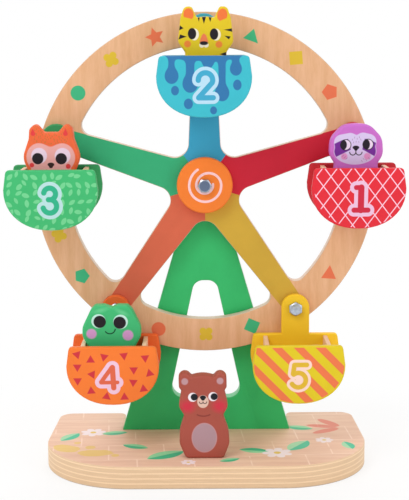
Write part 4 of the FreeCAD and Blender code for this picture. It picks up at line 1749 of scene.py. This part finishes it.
@dataclass
class GondolaSet:
    """The pieces of a gondola, modelled once, and the five gondolas made from them."""

    gondolas: tuple[Gondola, ...] = (
        Gondola(Design(
            Pattern.LATTICE, Paint.RED.value, tone(255, 208, 228), tone(206, 40, 66),
            Paint.PALE_PINK.value, (1.4, -44.4), 2.9,
            ((-3.6, 8.8, 0.2, 8.8, 3.8), (0.2, 8.8, 0, -8.6, 4.8), (-5.2, -8.6, 5.4, -8.6, 4.0))),
            "red_panel", tone(200, 40, 50)),
        Gondola(Design(
            Pattern.DRIPS, Paint.TURQUOISE.value, Paint.DEEP_BLUE.value, tone(66, 168, 204),
            Paint.PALE_BLUE.value, (0.6, -42.9), 2.6,
            ((5.3, 1.5, -4.6, -9.3, 4.0), (-4.8, -9.6, 6.2, -9.6, 4.0)),
            ((0.4, 3.7, 5.4, -25, 182, 4.0),)), "turquoise_panel", tone(64, 168, 196)),
        Gondola(Design(
            Pattern.LEAVES, tone(66, 186, 114), tone(115, 208, 145), tone(48, 178, 136),
            Paint.PALE_GREEN.value, (-0.4, -43.7), 2.8, ((-1.2, 0.2, 0.6, 0.2, 4.1),),
            ((-0.2, 4.6, 4.5, -80, 170, 4.1), (-0.3, -4.9, 5.2, -165, 80, 4.1))),
            "green_panel", tone(54, 156, 94)),
        Gondola(Design(
            Pattern.TRIANGLES, Paint.ORANGE.value, tone(208, 50, 62), tone(226, 104, 74),
            tone(242, 200, 222), (-2.9, -44.6), 3.1,
            ((2.4, 7.8, -6.2, -4.2, 3.4), (-6.2, -4.6, 6.6, -4.4, 3.0),
             (2.8, 7.6, 3.6, -8.8, 4.2))), "orange_panel", tone(240, 106, 46)),
        Gondola(Design(
            Pattern.STRIPES, Paint.LEMON.value, tone(238, 122, 76), tone(226, 184, 52),
            Paint.PALE_ROSE.value, (-0.1, -44.7), 2.2,
            ((6.0, 8.8, -3.6, 8.8, 3.8), (-3.6, 8.8, -4.6, 1.6, 3.8)),
            ((-0.5, -3.4, 5.8, -148, 128, 3.8),)), "yellow_panel", tone(248, 202, 42)),
    )

    def build(self) -> None:
        """Models the pieces once from gondola 2 and makes every gondola."""
        rim = outer_rim(PANEL_THICKNESS)
        models = {part: softened(f"{part}_2", f"{part}_model", radius, test, segments)
                  for part, radius, test, segments in (
                      ("back_panel", 1.1, rim, 4), ("front_panel", 1.2, rim, 4),
                      ("left_slat", 0.7, is_sharp, 3), ("right_slat", 0.7, is_sharp, 3),
                      ("floor", 0.5, is_sharp, 2))}
        for gondola in self.gondolas:
            gondola.build(models)
        for model in models.values():
            bpy.data.objects.remove(model)


@dataclass
class Figures:
    """The five loose animals, with their edges rounded all round."""

    edge: float = 2.0

    def build(self) -> None:
        """Builds each figure and prints its face."""
        for animal in Animal:
            node = animal.name.lower()
            low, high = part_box(node)
            foot = ((low.x + high.x) / 2 / MM, (low.y + high.y) / 2 / MM, low.z / MM)
            piece = softened(node, f"{node}_wood", self.edge, outer_rim(FIGURE_THICKNESS), 5)
            finish = FigureFinish(f"{node}_print", animal, foot)
            stand_for(piece, finish.material(), node, node, f"{node}_paint")


@dataclass
class Studio:
    """Pale floor, soft lamps and the camera at the photograph's angle."""

    eye: Triple = (-0.0005, -1.010, 0.3375)
    pitch: float = 9.2
    roll: float = -0.35
    lens: float = 92.0
    floor: Colour = tone(242, 241, 240)
    white: Colour = (1, 1, 1, 1)
    sky: float = 0.72

    def build(self) -> None:
        """Builds the floor, the sky, the lamps and the camera."""
        bpy.context.scene.view_settings.view_transform = "Standard"
        self.build_floor()
        self.build_sky()
        self.lamp("key_lamp", (-0.75, -0.95, 1.35), (0.0, 0.0, 0.18), 0.7, 8.4)
        self.lamp("fill_lamp", (1.1, -0.9, 0.7), (0.0, 0.0, 0.2), 0.9, 3.0)
        self.lamp("rim_lamp", (0.1, 0.9, 1.2), (0.0, 0.0, 0.2), 0.6, 3.0)
        self.build_camera()

    def seen(self, recipe: Recipe, *rays: str) -> Wire:
        """A mask: 1 for rays of these kinds and 0 for the rest of the light."""
        masks = [recipe.node("ShaderNodeLightPath", output=f"Is {ray} Ray") for ray in rays]
        return reduce(lambda first, mask: first + mask, masks).math("MINIMUM", 1.0)

    def build_floor(self) -> None:
        """A wide floor that turns plain white away from the toy."""
        bpy.ops.object.select_all(action="DESELECT")
        bpy.ops.mesh.primitive_plane_add(size=30.0, location=(0, 0, 0))
        floor = bpy.context.view_layer.objects.active
        floor.name = "studio_floor"
        recipe = Recipe("studio_floor_white")
        far = recipe.ramp(recipe.measure("LENGTH", recipe.place()), 190, 300) * 0.25 + 0.75
        matt = recipe.node("ShaderNodeBsdfDiffuse", inputs={"Color": self.floor})
        bright = recipe.node("ShaderNodeEmission", inputs={"Color": self.white})
        dress(floor, recipe.close(recipe.node("ShaderNodeMixShader", inputs={
            0: far * self.seen(recipe, "Camera", "Glossy"), 1: matt, 2: bright})))

    def build_sky(self) -> None:
        """Soft light all round, less from the camera's side, with a white background."""
        recipe = Recipe("studio_sky", sky=True)
        _, back, up = recipe.split(recipe.vector("NORMALIZE", recipe.coordinates))
        soft, plain = (recipe.node("ShaderNodeBackground", inputs={
            "Color": self.white, "Strength": level})
            for level in (up * 0.2 + back * 0.2 + self.sky, 1.0))
        bpy.context.scene.world = recipe.close(recipe.node("ShaderNodeMixShader", inputs={
            0: self.seen(recipe, "Camera", "Glossy", "Transmission"), 1: soft, 2: plain}))

    def lamp(self, name: str, place: Triple, target: Triple, size: float,
             power: float) -> None:
        """Adds a soft square lamp.

        Args:
            name: its name.
            place: where it hangs, in metres.
            target: what it points at.
            size: its side, in metres.
            power: its power in watts.
        """
        data = bpy.data.lights.new(name, "AREA")
        data.size = size
        data.energy = power
        item = bpy.data.objects.new(name, data)
        bpy.context.scene.collection.objects.link(item)
        item.location = place
        item.rotation_euler = (Vector(target) - Vector(place)).to_track_quat("-Z", "Y").to_euler()

    def build_camera(self) -> None:
        """The camera, at eye level above the hub, tipped down a little."""
        data = bpy.data.cameras.new("photo_camera")
        data.lens = self.lens
        data.sensor_fit = "VERTICAL"
        data.sensor_height = 36.0
        data.clip_start = 0.02
        item = bpy.data.objects.new("photo_camera", data)
        bpy.context.scene.collection.objects.link(item)
        item.matrix_world = (Matrix.Translation(self.eye)
                             @ Matrix.Rotation(math.radians(90 - self.pitch), 4, "X")
                             @ Matrix.Rotation(math.radians(self.roll), 4, "Z"))
        bpy.context.scene.camera = item


def main() -> None:
    """Builds every sub-assembly in order."""
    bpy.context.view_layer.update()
    Studio().build()
    Base().build()
    Stand().build()
    Wheel().build()
    GondolaSet().build()
    Figures().build()


if __name__ == "__main__":
    main()
